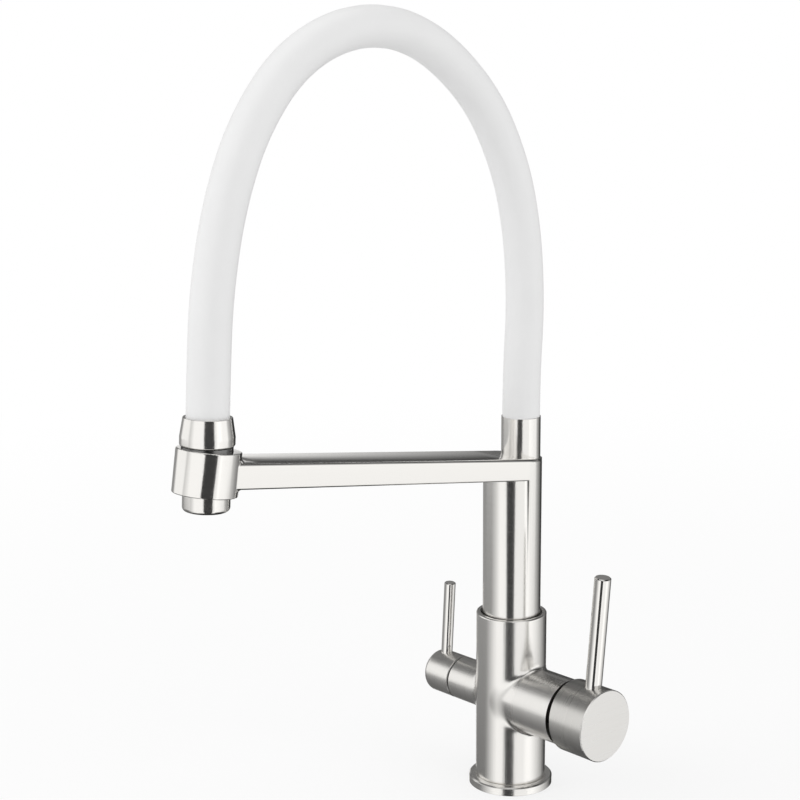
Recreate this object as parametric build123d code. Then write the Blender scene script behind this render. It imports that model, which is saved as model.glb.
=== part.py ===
"""Kitchen mixer tap with a hose arch, a filtered water handle and a pull-out spray head.

Millimetres, +Z up. The origin is the centre of the base, on the worktop.
The spout arm reaches towards -Y, the mixer handle is on +X and the filter handle on -X.
"""
from build123d import *
from math import atan, cos, degrees, hypot, pi, radians, sin, tan
import os

os.makedirs("parts", exist_ok=True)

# General clearances
running = 0.06          # radial clearance of a part that turns or slides in another
seat = 0.02             # clearance of a piece that is pressed, screwed or glued in place
slip = 0.05             # gap between two flat faces that slide on each other
body_gap = 0.3          # least gap between parts that move past each other
overrun = 1.0           # how far a drill or cutter runs past what it cuts

# Mixer cartridge and the branch of the body that holds it, on +X
handle_height = 56.2
cartridge_radius = 17.5     # a 35 mm cartridge
cartridge_start = 20.0
cartridge_length = 24.0
cartridge_wall = 3.5
cartridge_floor_thickness = 4.0
cartridge_lip = 3.4
port_seal_height = 0.8
port_seal_wall = 1.6
port_drop = 3.0             # the hot and cold ports lie this far below the axis
disc_thickness = 3.0
disc_pocket_depth = 1.9
pin_radius = 1.5
pin_setback = 6.0           # from the cartridge's outer end to the tilting pin
stem_half_width = 4.0
stem_tongue_half_width = 1.4
stem_tongue_length = 3.0
stem_disc_gap = 1.5
tongue_play = 0.9
carrier_slot_half_height = 8.3
carrier_neck = 3.4
nut_thickness = 4.4
nut_notches = 6
nut_notch_width = 3.2
nut_notch_depth = 1.4
nut_play = 0.66
pin_end_gap = 1.0
branch_clearance = 0.2
branch_wall = 1.8
branch_lip = 2.8            # the branch runs past the cartridge
branch_fillet = 2.0

# Mixer knob and lever
knob_step = 1.6             # the knob is larger than the branch
knob_wall = 1.3
knob_gap = 1.3              # the split at the top of the handle
knob_relief = 2.4           # how much wider the split is at the bottom
knob_length = 27.2
knob_edge_chamfer = 0.5
knob_rear_chamfer = 0.7
knob_cavity_depth = 9.9
knob_screw_inset = 3.2      # from the knob's inner face to its screw
stem_to_face = 9.3
stem_end_gap = 0.4
lever_radius = 4.8
lever_lean = 4.9            # degrees, outwards
lever_setback = 11.3        # from the knob's face to the lever on the handle's axis
lever_length = 87.9         # from the handle's axis to the top
lever_top_chamfer = 0.6
lever_spigot_radius = 3.0
lever_spigot_end = 6.4
screw_radius = 2.5          # M5 grub screw
screw_length = 6.0
screw_hex_radius = 1.4
screw_hex_depth = 2.5

# Body and base
body_step = 1.4             # the body's tube is larger than the mixer's branch
body_wall = 2.62
body_rim_fillet = 1.0
body_foot_chamfer = 0.4
flange_overhang = 4.1
flange_height = 5.4
flange_lip = 0.4            # the raised step of the flange under the body
flange_lip_overhang = 1.0
flange_edge = 0.8
seal_inset = 0.3
seal_width = 2.6
seal_thickness = 2.2
inlet_block_step = 0.68
inlet_block_height = 22.0
inlet_circle_radius = 10.5
inlet_core_radius = 4.46    # tapped M10 x 1
inlet_depth = 12.0
stud_core_radius = 3.4      # tapped M8
stud_depth = 14.0
channel_radius = 2.8
cross_channel_radius = 2.5

# Column and its bearings in the body
floor_over_branch = 2.3     # from the branch up to the shoulder on which the column stands
bearing_depth = 29.1
column_wall = 2.6
bush_wall = 1.0
bush_top_recess = 2.4
slip_washer_thickness = 1.5
o_ring_radius = 0.85
o_ring_side_gap = 0.1
groove_depth = 1.2
upper_bush_share = 0.215    # of the room between the column's foot and the top of the bushes
lower_bush_share = 0.18
lower_bush_place = 0.477
screw_place = 0.24
column_screw_length = 4.0

# Spout arm and holder ring
arm_reach = 218.7
arm_rise = 8.7              # degrees, the slope of the arm's top face, to which the ring is square
arm_under_rise = 8.4        # degrees, the slope of its underside
arm_height = 12.8           # at the column
arm_top = 202.2             # height of the arm's top face on the column's axis
arm_inset = 0.2
arm_ring_inset = 2.1
arm_edge_fillet = 2.2
arm_under_fillet = 1.1
arm_root_overlap = 2.0
ring_radius = 16.8
ring_height = 22.8
ring_lift = 0.2             # of the ring's middle over the arm's
ring_fillet = 2.2
ring_edge_fillet = 0.6
liner_wall = 1.0
liner_inset = 2.4           # from the ring's ends to the liner's

# Hoses: a silicone sleeve with two water hoses in it
hose_radius = 11.0
hose_wall = 2.6
mixed_hose_radius = 4.2
mixed_hose_bore = 3.0
mixed_hose_side = 3.4       # distance of the mixed water hose from the sleeve's middle
filtered_hose_radius = 2.8
filtered_hose_bore = 1.8
filtered_hose_side = -4.6
spigot_length = 8.0
spigot_wall = 0.8
spigot_foot = 2.0
arch_height = 233.9         # of the route's highest point over the hose's start
hose_straight_start = 34.0
hose_straight_end = 31.5

# Riser pipe behind the arm
riser_offset = 6.8          # how far behind the column's axis the pipe stands
riser_lip = 0.5
riser_wall = 1.1
riser_rise = 22.5           # of the pipe's top over the arm's
riser_socket_depth = 14.0
riser_boss_wall = 1.0
riser_boss_taper = 1.8
riser_boss_height = 24.0
riser_passage_step = 1.2
riser_passage_floor = 6.0
riser_rim_fillet = 0.18
mouth_depth = 9.0
connector_foot = 9.0
connector_top_gap = 1.5

# Spray head, in heights along its own axis from the middle of the ring
head_tilt = 3.1             # degrees that the head leans towards the column
nozzle_radius = 12.2
nozzle_drop = 8.6           # of the nozzle under the ring
nozzle_edge_fillet = 2.2
neck_inset = 1.9
ferrule_gap = 2.2
ferrule_height = 14.3
ferrule_radius = 14.1
ferrule_top_wall = 1.6
ferrule_skirt = 4.5
ferrule_edge_fillet = 0.9
ferrule_waist_fillet = 6.0
ferrule_bore_step = 0.2
seat_ring_inset = 0.9
hose_insertion = 7.3
tail_thickness = 2.0
tail_pivot_radius = 5.0
tail_pivot_length = 8.0
tail_mixed_bore = 1.2
tail_filtered_bore = 0.9
tail_mixed_side = 2.8
tail_filtered_side = -3.3
tail_web = 0.8
chamber_radius = 7.2
chamber_roof = 4.0
aerator_inset = 1.45        # M21.5 x 1 cache aerator
aerator_depth = 10.4
aerator_wall = 2.3
aerator_recess = 0.9
aerator_ledge = 1.2
jet_disc_recess = 0.8
jet_disc_thickness = 5.0
jet_radius = 0.62
jet_spacing = 2.3
jet_rings = 3
gasket_thickness = 1.4
gasket_step = 0.6

# Filter handle and its valve, on -X
filter_height = 54.0
filter_radius = 13.0
filter_branch_end = 41.1
filter_branch_wall = 2.4
filter_branch_fillet = 2.0
filter_floor = 14.0
filter_gap = 0.8
filter_knob_length = 22.6
filter_knob_fillet = 4.5
filter_knob_wall = 1.8
filter_knob_cavity_depth = 4.0
filter_knob_rear_chamfer = 0.4
filter_seal_height = 1.0
headpart_wall = 2.4
spindle_collar = 6.0
spindle_radius = 4.0
spindle_to_end = 6.5
spindle_flat = 3.0
filter_disc_thickness = 3.0
filter_port_inset = 3.2
filter_port_radius = 1.6
gland_thickness = 4.3
gland_play = 0.24
filter_lever_radius = 3.5
filter_lever_lean = 3.6     # degrees, towards the column
filter_lever_setback = 7.9
filter_lever_length = 58.6
filter_lever_seat_radius = 8.0
filter_lever_spigot_radius = 2.0
filter_lever_spigot_end = 5.2
filter_lever_top_chamfer = 0.42
filter_screw_radius = 2.0   # M4 grub screw
filter_screw_setback = 5.0
filter_screw_hex_radius = 1.12
filter_screw_hex_depth = 2.0

# Sizes that follow from those above
cartridge_end = cartridge_start + cartridge_length
cartridge_bore = cartridge_radius - cartridge_wall
cartridge_lip_bore = cartridge_bore - cartridge_lip
port_circle_radius = 0.65 * cartridge_bore
disc_radius = cartridge_bore - body_gap
moving_disc_radius = 0.68 * cartridge_bore
disc_floor = cartridge_start + cartridge_floor_thickness
disc_top = disc_floor + 2 * disc_thickness
lip_inside = cartridge_end - disc_thickness
carrier_neck_radius = cartridge_lip_bore - running
pivot_x = cartridge_end - pin_setback
carrier_end = cartridge_end + carrier_neck
cavity_radius = cartridge_radius + branch_clearance
branch_radius = cavity_radius + branch_wall
branch_end = cartridge_end + branch_lip
knob_radius = branch_radius + knob_step
knob_bore = knob_radius - knob_wall
knob_start = branch_end + knob_gap
knob_solid = knob_start + knob_cavity_depth
knob_end = knob_start + knob_length
stem_end = knob_end - stem_to_face
lever_axis_x = knob_end - lever_setback
lever_seat_radius = knob_radius / 2

body_radius = branch_radius + body_step
column_bore = body_radius - body_wall
column_radius = column_bore - seat - bush_wall - running
column_inner_radius = column_radius - column_wall
column_floor = handle_height + branch_radius + floor_over_branch
column_foot = column_floor + slip_washer_thickness + slip
body_top = column_floor + bearing_depth
upper_bush_top = body_top - bush_top_recess
bearing_room = upper_bush_top - column_foot
upper_bush_bottom = upper_bush_top - upper_bush_share * bearing_room
lower_bush_bottom = column_foot + lower_bush_place * bearing_room
lower_bush_top = lower_bush_bottom + lower_bush_share * bearing_room
o_ring_height = (lower_bush_top + upper_bush_bottom) / 2
screw_height = column_foot + screw_place * bearing_room
screw_groove_half_height = screw_radius + body_gap
flange_radius = body_radius + flange_overhang
flange_lip_radius = body_radius + flange_lip_overhang
seal_inner_radius = body_radius - seal_inset
inlet_block_radius = column_bore - inlet_block_step
body_bore = inlet_block_radius + seat

arm_root_half_width = column_radius - arm_inset
arm_tip_half_width = ring_radius - arm_ring_inset
arm_tip_top = arm_top + arm_reach * tan(radians(arm_rise))
arm_tip_bottom = arm_top - arm_height + arm_reach * tan(radians(arm_under_rise))
ring_centre_height = (arm_tip_top + arm_tip_bottom) / 2 + ring_lift

riser_radius = hose_radius + riser_lip
riser_top = arm_top + riser_rise
riser_bore = riser_radius - riser_wall
mouth_bore = hose_radius + running
riser_foot = arm_top - riser_socket_depth
hose_start = riser_top - mouth_depth
sleeve_bore = hose_radius - hose_wall
mixed_spigot_bore = mixed_hose_bore - spigot_wall
filtered_spigot_bore = filtered_hose_bore - spigot_wall
hose_pair = [               # side, outer radius, bore radius, bore of its spigots
    (mixed_hose_side, mixed_hose_radius, mixed_hose_bore, mixed_spigot_bore),
    (filtered_hose_side, filtered_hose_radius, filtered_hose_bore, filtered_spigot_bore),
]

neck_radius = nozzle_radius - neck_inset
liner_bore = nozzle_radius + running
liner_radius = liner_bore + liner_wall
liner_half_height = ring_height / 2 - liner_inset
ring_bore = liner_radius + seat
nozzle_bottom = -ring_height / 2 - nozzle_drop
ferrule_bottom = ring_height / 2 + ferrule_gap
ferrule_top = ferrule_bottom + ferrule_height
ferrule_top_radius = hose_radius + ferrule_top_wall
ferrule_seat = ferrule_top - hose_insertion
aerator_radius = nozzle_radius - aerator_inset
seat_ring_radius = ferrule_radius - seat_ring_inset

filter_cavity_radius = filter_radius - filter_branch_wall
headpart_bore = filter_cavity_radius - headpart_wall
headpart_length = (filter_branch_end - filter_floor - filter_seal_height - gland_thickness
                   + filter_gap / 4)
filter_port_offset = headpart_bore - filter_port_inset
filter_knob_start = filter_branch_end + filter_gap
filter_knob_end = filter_knob_start + filter_knob_length
filter_knob_floor = filter_knob_start + filter_knob_cavity_depth
spindle_end = filter_knob_end - spindle_to_end
filter_lever_axis_x = filter_knob_end - filter_lever_setback


def rod(radius, low, high, x=0.0, y=0.0):
    """A round bar that stands up, from one height to another."""
    return Pos(x, y, (low + high) / 2) * Cylinder(radius, high - low)


def tube(outer, inner, low, high, x=0.0, y=0.0):
    """An upright tube."""
    return rod(outer, low, high, x, y) - rod(inner, low - overrun, high + overrun, x, y)


def turned(points):
    """A solid turned about Z from (radius, height) points."""
    return revolve(make_face(Plane.XZ * Polyline(*points, close=True)), Axis.Z)


def bar_x(radius, start, end, height, y=0.0):
    """A round bar along X."""
    low, high = sorted((start, end))
    return Pos((low + high) / 2, y, height) * Rot(0, 90, 0) * Cylinder(radius, high - low)


def ring_x(outer, inner, start, end, height):
    """A tube along X."""
    low, high = sorted((start, end))
    return bar_x(outer, low, high, height) - bar_x(inner, low - overrun, high + overrun, height)


def block(x_range, y_range, z_range):
    """A box between two limits on each axis."""
    sizes = [high - low for low, high in (x_range, y_range, z_range)]
    middle = [(high + low) / 2 for low, high in (x_range, y_range, z_range)]
    return Pos(*middle) * Box(*sizes)


def bend_radii(points):
    """The radius of the arc at each inner corner of a hose's route, from its two runs."""
    radii = []
    for before, here, after in zip(points, points[1:], points[2:]):
        run_in, run_out = Vector(*here) - Vector(*before), Vector(*after) - Vector(*here)
        half_turn = radians(run_in.get_angle(run_out)) / 2
        radii.append(0.45 * min(run_in.length, run_out.length) / tan(half_turn))
    return radii


def hose(points, outer, inner, side=0.0):
    """A hose along a route in a plane across X, its middle a little to one side."""
    route = [(x + side, y, z) for x, y, z in points]
    path = FilletPolyline(*route, radius=bend_radii(route))
    ends = Plane(origin=route[0], z_dir=Vector(*route[1]) - Vector(*route[0]))
    wall = make_face(ends * Circle(outer).wire()) - make_face(ends * Circle(inner).wire())
    return sweep(wall, path=path)


def edges_where(shape, test):
    """The edges of a shape whose points all pass a test."""
    return [e for e in shape.edges() if all(test(e @ t) for t in (0.0, 0.25, 0.5, 0.75, 1.0))]


def head_place(x=0.0, y=0.0):
    """The spray head's own frame: Z along its axis, zero at the middle of the ring."""
    return Pos(0, -arm_reach, ring_centre_height) * Rot(-head_tilt, 0, 0) * Pos(x, y, 0)


def save(name, shape):
    """Write one sub-part."""
    shape.label = name
    export_step(shape, f"parts/{name}.step")


# The route of the hoses, from the riser pipe over the arch to the ferrule
def on_head_axis(distance):
    """A point of the head's axis, this far up from the middle of the ring."""
    lean = radians(head_tilt)
    return (0.0, -arm_reach + distance * sin(lean), ring_centre_height + distance * cos(lean))


# Each point of the arch is a share of the way forward and a share of its height
arch_shares = [
    (-0.0133, 0.3147), (0.0009, 0.5015), (0.0475, 0.6674), (0.1539, 0.8384), (0.3450, 0.9739),
    (0.5437, 1.0000), (0.7308, 0.9312), (0.8612, 0.7884), (0.9357, 0.6191), (0.9752, 0.4357),
]
arch_span = arm_reach + riser_offset
arch_route = [
    (0.0, riser_offset, hose_start),
    (0.0, riser_offset, hose_start + hose_straight_start),
    *[(0.0, riser_offset - forward * arch_span, hose_start + up * arch_height)
      for forward, up in arch_shares],
    on_head_axis(ferrule_seat + hose_straight_end),
    on_head_axis(ferrule_seat),
]
column_hose_start = column_floor + spigot_foot + body_gap
column_hose_end = riser_foot + connector_foot
column_hose_run = column_hose_end - column_hose_start
column_route = [
    (0.0, 0.0, column_hose_start),
    (0.0, 0.0, column_hose_start + 0.29 * column_hose_run),
    (0.0, riser_offset, column_hose_start + 0.70 * column_hose_run),
    (0.0, riser_offset, column_hose_end),
]


# Base: the flange with its seal, and the block that takes the supply hoses
def inlet_places():
    """Where the three supply hoses and the fixing stud enter the block, by name."""
    angles = {"hot": 60, "cold": -60, "filtered": 180, "stud": 0}
    return {
        name: (inlet_circle_radius * cos(radians(a)), inlet_circle_radius * sin(radians(a)))
        for name, a in angles.items()
    }


def make_base():
    step = flange_height - flange_lip
    flange = turned([
        (body_bore, 0), (flange_radius, 0), (flange_radius, step - flange_edge),
        (flange_radius - flange_edge, step), (flange_lip_radius, step),
        (flange_lip_radius, flange_height), (body_bore, flange_height),
    ])
    flange -= tube(seal_inner_radius + seal_width + seat, seal_inner_radius - seat,
                   -overrun, seal_thickness + seat)
    save("base_flange", flange)
    save("base_seal", tube(seal_inner_radius + seal_width, seal_inner_radius, 0, seal_thickness))

    inlets = rod(inlet_block_radius, 0, inlet_block_height)
    for name, (x, y) in inlet_places().items():
        if name == "stud":
            inlets -= rod(stud_core_radius, -overrun, stud_depth, x, y)
        else:
            inlets -= rod(inlet_core_radius, -overrun, inlet_depth, x, y)
            inlets -= rod(channel_radius, inlet_depth - overrun, inlet_block_height + overrun, x, y)
    save("inlet_block", inlets)


# Body casting: a tube with the mixer's branch and the filter's branch, and the waterways
def branch_edges(casting, radius, height, side):
    """The edges where a branch meets the body's tube."""
    def test(point):
        from_body = abs(hypot(point.X, point.Y) - body_radius)
        from_branch = abs(hypot(point.Y, point.Z - height) - radius)
        return from_body < seat and from_branch < seat and point.X * side > 0
    return edges_where(casting, test)


def make_body():
    shell = rod(body_radius, flange_height, body_top)
    shell = chamfer(shell.edges().group_by(Axis.Z)[0], body_foot_chamfer)
    shell = fillet(shell.edges().group_by(Axis.Z)[-1], body_rim_fillet)
    casting = shell + bar_x(branch_radius, 0, branch_end, handle_height)
    casting += bar_x(filter_radius, 0, -filter_branch_end, filter_height)
    casting = fillet(branch_edges(casting, branch_radius, handle_height, 1), branch_fillet)
    casting = fillet(branch_edges(casting, filter_radius, filter_height, -1), filter_branch_fillet)

    # Room for the inlet block, the column, the cartridge and the filter valve
    casting -= rod(body_bore, 0, inlet_block_height + seat)
    casting -= rod(column_bore, column_floor, body_top + overrun)
    casting -= bar_x(cavity_radius, cartridge_start - port_seal_height, branch_end + overrun,
                     handle_height)
    casting -= bar_x(filter_cavity_radius, -filter_floor, -filter_branch_end - overrun, filter_height)
    inner_rim = casting.edges().group_by(Axis.Z)[-1].sort_by(SortBy.LENGTH)[0]
    casting = fillet(inner_rim, body_rim_fillet / 2)

    # Hot and cold water rise to the cartridge, the mixed water leaves up to the column
    places = inlet_places()
    port_height = handle_height - port_drop
    for name in ("hot", "cold"):
        x, y = places[name]
        casting -= rod(channel_radius, inlet_block_height - overrun, port_height + channel_radius, x, y)
        casting -= bar_x(cross_channel_radius, x, cartridge_start, port_height, y)
    outlet_height = handle_height + port_circle_radius
    casting -= bar_x(channel_radius, mixed_hose_side - channel_radius, cartridge_start, outlet_height)
    casting -= rod(mixed_spigot_bore, outlet_height, column_floor + overrun, mixed_hose_side)

    # Filtered water rises to its own valve and leaves beside the mixed water
    x, y = places["filtered"]
    filter_port = filter_height - filter_port_offset
    casting -= rod(channel_radius, inlet_block_height - overrun, filter_port + channel_radius, x, y)
    casting -= bar_x(filter_port_radius, x, -filter_floor - overrun, filter_port, y)
    filter_outlet = filter_height + filter_port_offset
    casting -= bar_x(filter_port_radius, filtered_hose_side + filter_port_radius,
                     -filter_floor - overrun, filter_outlet)
    casting -= rod(filtered_spigot_bore, filter_outlet, column_floor + overrun, filtered_hose_side)

    # The tapped hole of the grub screw that keeps the column down, at the back
    casting -= (Pos(0, (column_bore + body_radius) / 2, screw_height) * Rot(90, 0, 0)
                * Cylinder(screw_radius, body_wall + 2 * overrun))
    save("body_casting", casting)

    nipples = []
    foot_top = column_floor + spigot_foot
    for side, hose_outer, spigot, bore in hose_pair:
        nipple = rod(hose_outer, column_floor, foot_top, side)
        nipple += rod(spigot - seat, column_floor, foot_top + spigot_length, side)
        nipples.append(nipple - rod(bore, column_floor - overrun, foot_top + spigot_length + overrun, side))
    save("outlet_nipples", Compound(children=nipples))


# Bearings of the column: two bushes, the washer it stands on, and the screw that keeps it down
def make_bearings():
    bush_bore = column_radius + running
    upper = tube(column_bore - seat, bush_bore, upper_bush_bottom, upper_bush_top)
    lower = tube(column_bore - seat, bush_bore, lower_bush_bottom, lower_bush_top)
    save("column_bushes", Compound(children=[upper, lower]))
    save("slip_washer", tube(column_bore - seat, column_inner_radius, column_floor,
                             column_floor + slip_washer_thickness))
    seal = Pos(0, 0, o_ring_height) * Torus(column_bore - o_ring_radius - running, o_ring_radius)
    save("column_o_ring", seal)

    tip = column_radius - groove_depth + body_gap
    head = tip + column_screw_length
    screw = Pos(0, (tip + head) / 2, screw_height) * Rot(-90, 0, 0) * Cylinder(
        screw_radius - seat, column_screw_length)
    socket = Pos(0, head, screw_height) * Rot(-90, 0, 0) * extrude(
        RegularPolygon(screw_hex_radius, 6), amount=screw_hex_depth, both=True)
    save("column_screw", screw - socket)


# Spout: the column, the rising arm and the holder ring are one casting
def make_spout():
    rise = tan(radians(arm_rise))
    under_rise = tan(radians(arm_under_rise))
    back = column_radius + arm_root_overlap
    profile = make_face(Plane.YZ * Polyline(
        (back, arm_top - back * rise),
        (-arm_reach, arm_tip_top),
        (-arm_reach, arm_tip_bottom),
        (back, arm_top - arm_height - back * under_rise),
        close=True,
    ))
    side_view = extrude(profile, amount=back, both=True)
    plan = make_face(Polyline(
        (arm_root_half_width, 0), (arm_tip_half_width, -arm_reach),
        (-arm_tip_half_width, -arm_reach), (-arm_root_half_width, 0), close=True,
    ))
    top_view = extrude(plan, amount=2 * arm_top)
    arm = side_view & top_view
    middle = arm.center().Z
    least = min(arm_tip_half_width, arm_root_half_width) - seat
    sides = [e for e in edges_where(arm, lambda point: abs(point.X) > least) if e.length > arm_reach]
    arm = fillet([e for e in sides if e.center().Z > middle], arm_edge_fillet)
    sides = [e for e in edges_where(arm, lambda point: abs(point.X) > least) if e.length > arm_reach]
    arm = fillet([e for e in sides if e.center().Z < middle - arm_height / 4], arm_under_fillet)

    # The ring stands square to the arm, and its edge with the arm is rounded all the way
    ring_place = Pos(0, -arm_reach, ring_centre_height) * Rot(-arm_rise, 0, 0)
    spout = arm + ring_place * Cylinder(ring_radius, ring_height)
    from_world = ring_place.inverse()

    def on_ring(point):
        local = (from_world * Pos(point.X, point.Y, point.Z)).position
        near = abs(hypot(local.X, local.Y) - ring_radius) < 10 * seat
        return near and abs(local.Z) < ring_height / 2 - ring_edge_fillet and local.Y > 0

    def on_rim(point):
        local = (from_world * Pos(point.X, point.Y, point.Z)).position
        return abs(abs(local.Z) - ring_height / 2) < seat
    spout = fillet(edges_where(spout, on_ring), ring_fillet)
    spout = fillet(edges_where(spout, on_rim), ring_edge_fillet)

    # The column, its top cut along the arm's slope, and the boss of the riser pipe
    top_room = 2 * arm_height
    above = Pos(0, 0, arm_top) * Rot(-arm_rise, 0, 0) * Pos(0, 0, top_room) * Box(
        4 * back, 4 * back, 2 * top_room)
    column = rod(column_radius, column_foot, arm_top + arm_height) - above
    top_edge = [e for e in column.edges()
                if e.center().Z > arm_top - arm_height and e.length > 2 * column_radius]
    column = fillet(top_edge, arm_edge_fillet)
    boss_radius = riser_radius + riser_boss_wall
    boss = Pos(0, riser_offset, riser_foot - riser_boss_height / 2) * Cone(
        boss_radius - riser_boss_taper, boss_radius, riser_boss_height)
    boss += rod(boss_radius, riser_foot, arm_top + arm_height, 0, riser_offset)
    spout = spout + column + (boss - above)

    # Bores: the column, the way up for the hoses, the pipe's socket and the ring
    passage_floor = riser_foot - riser_passage_floor
    over_arm = arm_top + arm_height
    spout -= rod(column_inner_radius, column_foot - overrun, passage_floor)
    spout -= rod(riser_bore - riser_passage_step, passage_floor - overrun, over_arm, 0, riser_offset)
    spout -= rod(riser_radius + seat, riser_foot, over_arm, 0, riser_offset)
    spout -= head_place() * Cylinder(ring_bore, 2 * ring_height)

    # Grooves on the column for the O-ring and the retaining screw
    cutter = column_radius + overrun
    o_ring_room = o_ring_radius + o_ring_side_gap
    spout -= tube(cutter, column_bore - 2 * o_ring_radius - 2 * running - seat,
                  o_ring_height - o_ring_room, o_ring_height + o_ring_room)
    spout -= tube(cutter, column_radius - groove_depth,
                  screw_height - screw_groove_half_height, screw_height + screw_groove_half_height)
    save("spout_arm", spout)

    liner = head_place() * tube(liner_radius, liner_bore, -liner_half_height, liner_half_height)
    save("ring_liner", liner)


# Riser pipe with the connector that joins the hoses of the column to those of the arch
def make_riser():
    pipe = tube(riser_radius, riser_bore, riser_foot, riser_top)
    pipe -= rod(mouth_bore, hose_start, riser_top + overrun)
    pipe = fillet(pipe.edges().group_by(Axis.Z)[-1], riser_rim_fillet)
    save("riser_pipe", Pos(0, riser_offset, 0) * pipe)

    low = riser_foot + connector_foot
    connector = rod(riser_bore - seat, low, hose_start - connector_top_gap, 0, riser_offset)
    bottom, top = low - spigot_length, hose_start + spigot_length
    for side, _, spigot, bore in hose_pair:
        connector += rod(spigot - seat, bottom, top, side, riser_offset)
        connector -= rod(bore, bottom - overrun, top + overrun, side, riser_offset)
    save("hose_connector", connector)


def make_hoses():
    save("hose_sleeve", hose(arch_route, hose_radius, sleeve_bore))
    for name, (side, outer, bore, _) in zip(("mixed", "filtered"), hose_pair):
        save(f"{name}_water_hose", hose(arch_route, outer, bore, side))
        save(f"column_{name}_hose", hose(column_route, outer, bore, side))
    print("arch bend radii", [round(r, 1) for r in bend_radii(arch_route)])
    print("column hose bend radii", [round(r, 1) for r in bend_radii(column_route)])


# Ferrule: the turned cone that holds the hoses above the ring, with the tail in it
def make_ferrule():
    seat_bore = neck_radius + ferrule_bore_step
    skirt_top = ferrule_bottom + ferrule_skirt
    cone = turned([
        (seat_bore, ferrule_bottom), (ferrule_radius, ferrule_bottom),
        (ferrule_radius, skirt_top), (ferrule_top_radius, ferrule_top),
        (mouth_bore, ferrule_top), (mouth_bore, ferrule_seat), (seat_bore, ferrule_seat),
    ])
    outer_edge = cone.edges().group_by(Axis.Z)[0].sort_by(SortBy.LENGTH)[-1]
    cone = fillet(outer_edge, ferrule_edge_fillet)
    waist = [e for e in cone.edges() if abs(e.center().Z - skirt_top) < seat]
    cone = fillet(waist, ferrule_waist_fillet)
    save("hose_ferrule", head_place() * cone)

    foot = ferrule_seat - tail_thickness
    pivot_foot = foot - tail_pivot_length
    tail = rod(seat_bore - seat, foot, ferrule_seat) + rod(tail_pivot_radius, pivot_foot, ferrule_seat)
    for side, _, spigot, bore in hose_pair:
        tail += rod(spigot - seat, ferrule_seat, ferrule_seat + spigot_length, side)
        tail -= rod(bore, foot + tail_web, ferrule_seat + spigot_length + overrun, side)
    for side, bore in ((tail_mixed_side, tail_mixed_bore), (tail_filtered_side, tail_filtered_bore)):
        tail -= rod(bore, pivot_foot - overrun, ferrule_seat - tail_web, side)
    save("hose_tail", head_place() * tail)


# Spray head: the nozzle barrel, its seat ring and the aerator
def make_head():
    neck_top = ferrule_seat - tail_thickness - body_gap
    shoulder = liner_half_height + body_gap
    barrel = rod(nozzle_radius, nozzle_bottom, shoulder) + rod(neck_radius, 0, neck_top)
    barrel = fillet(barrel.edges().group_by(Axis.Z)[0], nozzle_edge_fillet)
    low = nozzle_bottom + aerator_recess
    top = low + aerator_depth
    barrel -= rod(aerator_radius + seat, nozzle_bottom - overrun, top + gasket_thickness)
    barrel -= rod(chamber_radius, nozzle_bottom, chamber_roof)
    barrel -= rod(tail_pivot_radius + running, 0, neck_top + overrun)
    save("spray_barrel", head_place() * barrel)
    save("seat_ring", head_place() * tube(seat_ring_radius, neck_radius + seat, shoulder,
                                          ferrule_bottom - body_gap))

    inner = aerator_radius - aerator_wall
    disc_low = low + jet_disc_recess
    disc_top = disc_low + jet_disc_thickness
    housing = tube(aerator_radius, inner, low, top)
    housing += tube(aerator_radius, inner - aerator_ledge, disc_top + seat, disc_top + aerator_ledge)
    save("aerator_housing", head_place() * housing)
    disc = rod(inner - seat, disc_low, disc_top)
    jets = [(0.0, 0.0)]
    for ring in range(1, jet_rings + 1):
        for k in range(6 * ring):
            turn = 2 * pi * k / (6 * ring)
            jets.append((ring * jet_spacing * cos(turn), ring * jet_spacing * sin(turn)))
    disc -= [rod(jet_radius, disc_low - overrun, disc_top + overrun, x, y) for x, y in jets]
    save("jet_disc", head_place() * disc)
    save("aerator_gasket", head_place() * tube(aerator_radius, chamber_radius + gasket_step,
                                               top, top + gasket_thickness - seat))


# Mixer cartridge: fixed in the branch, with the parts that the handle moves inside it
def port_places():
    """The cartridge's ports in its floor: hot, cold and mixed, as (y, z from the axis)."""
    return [(port_circle_radius, -port_drop), (-port_circle_radius, -port_drop),
            (0.0, port_circle_radius)]


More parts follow.
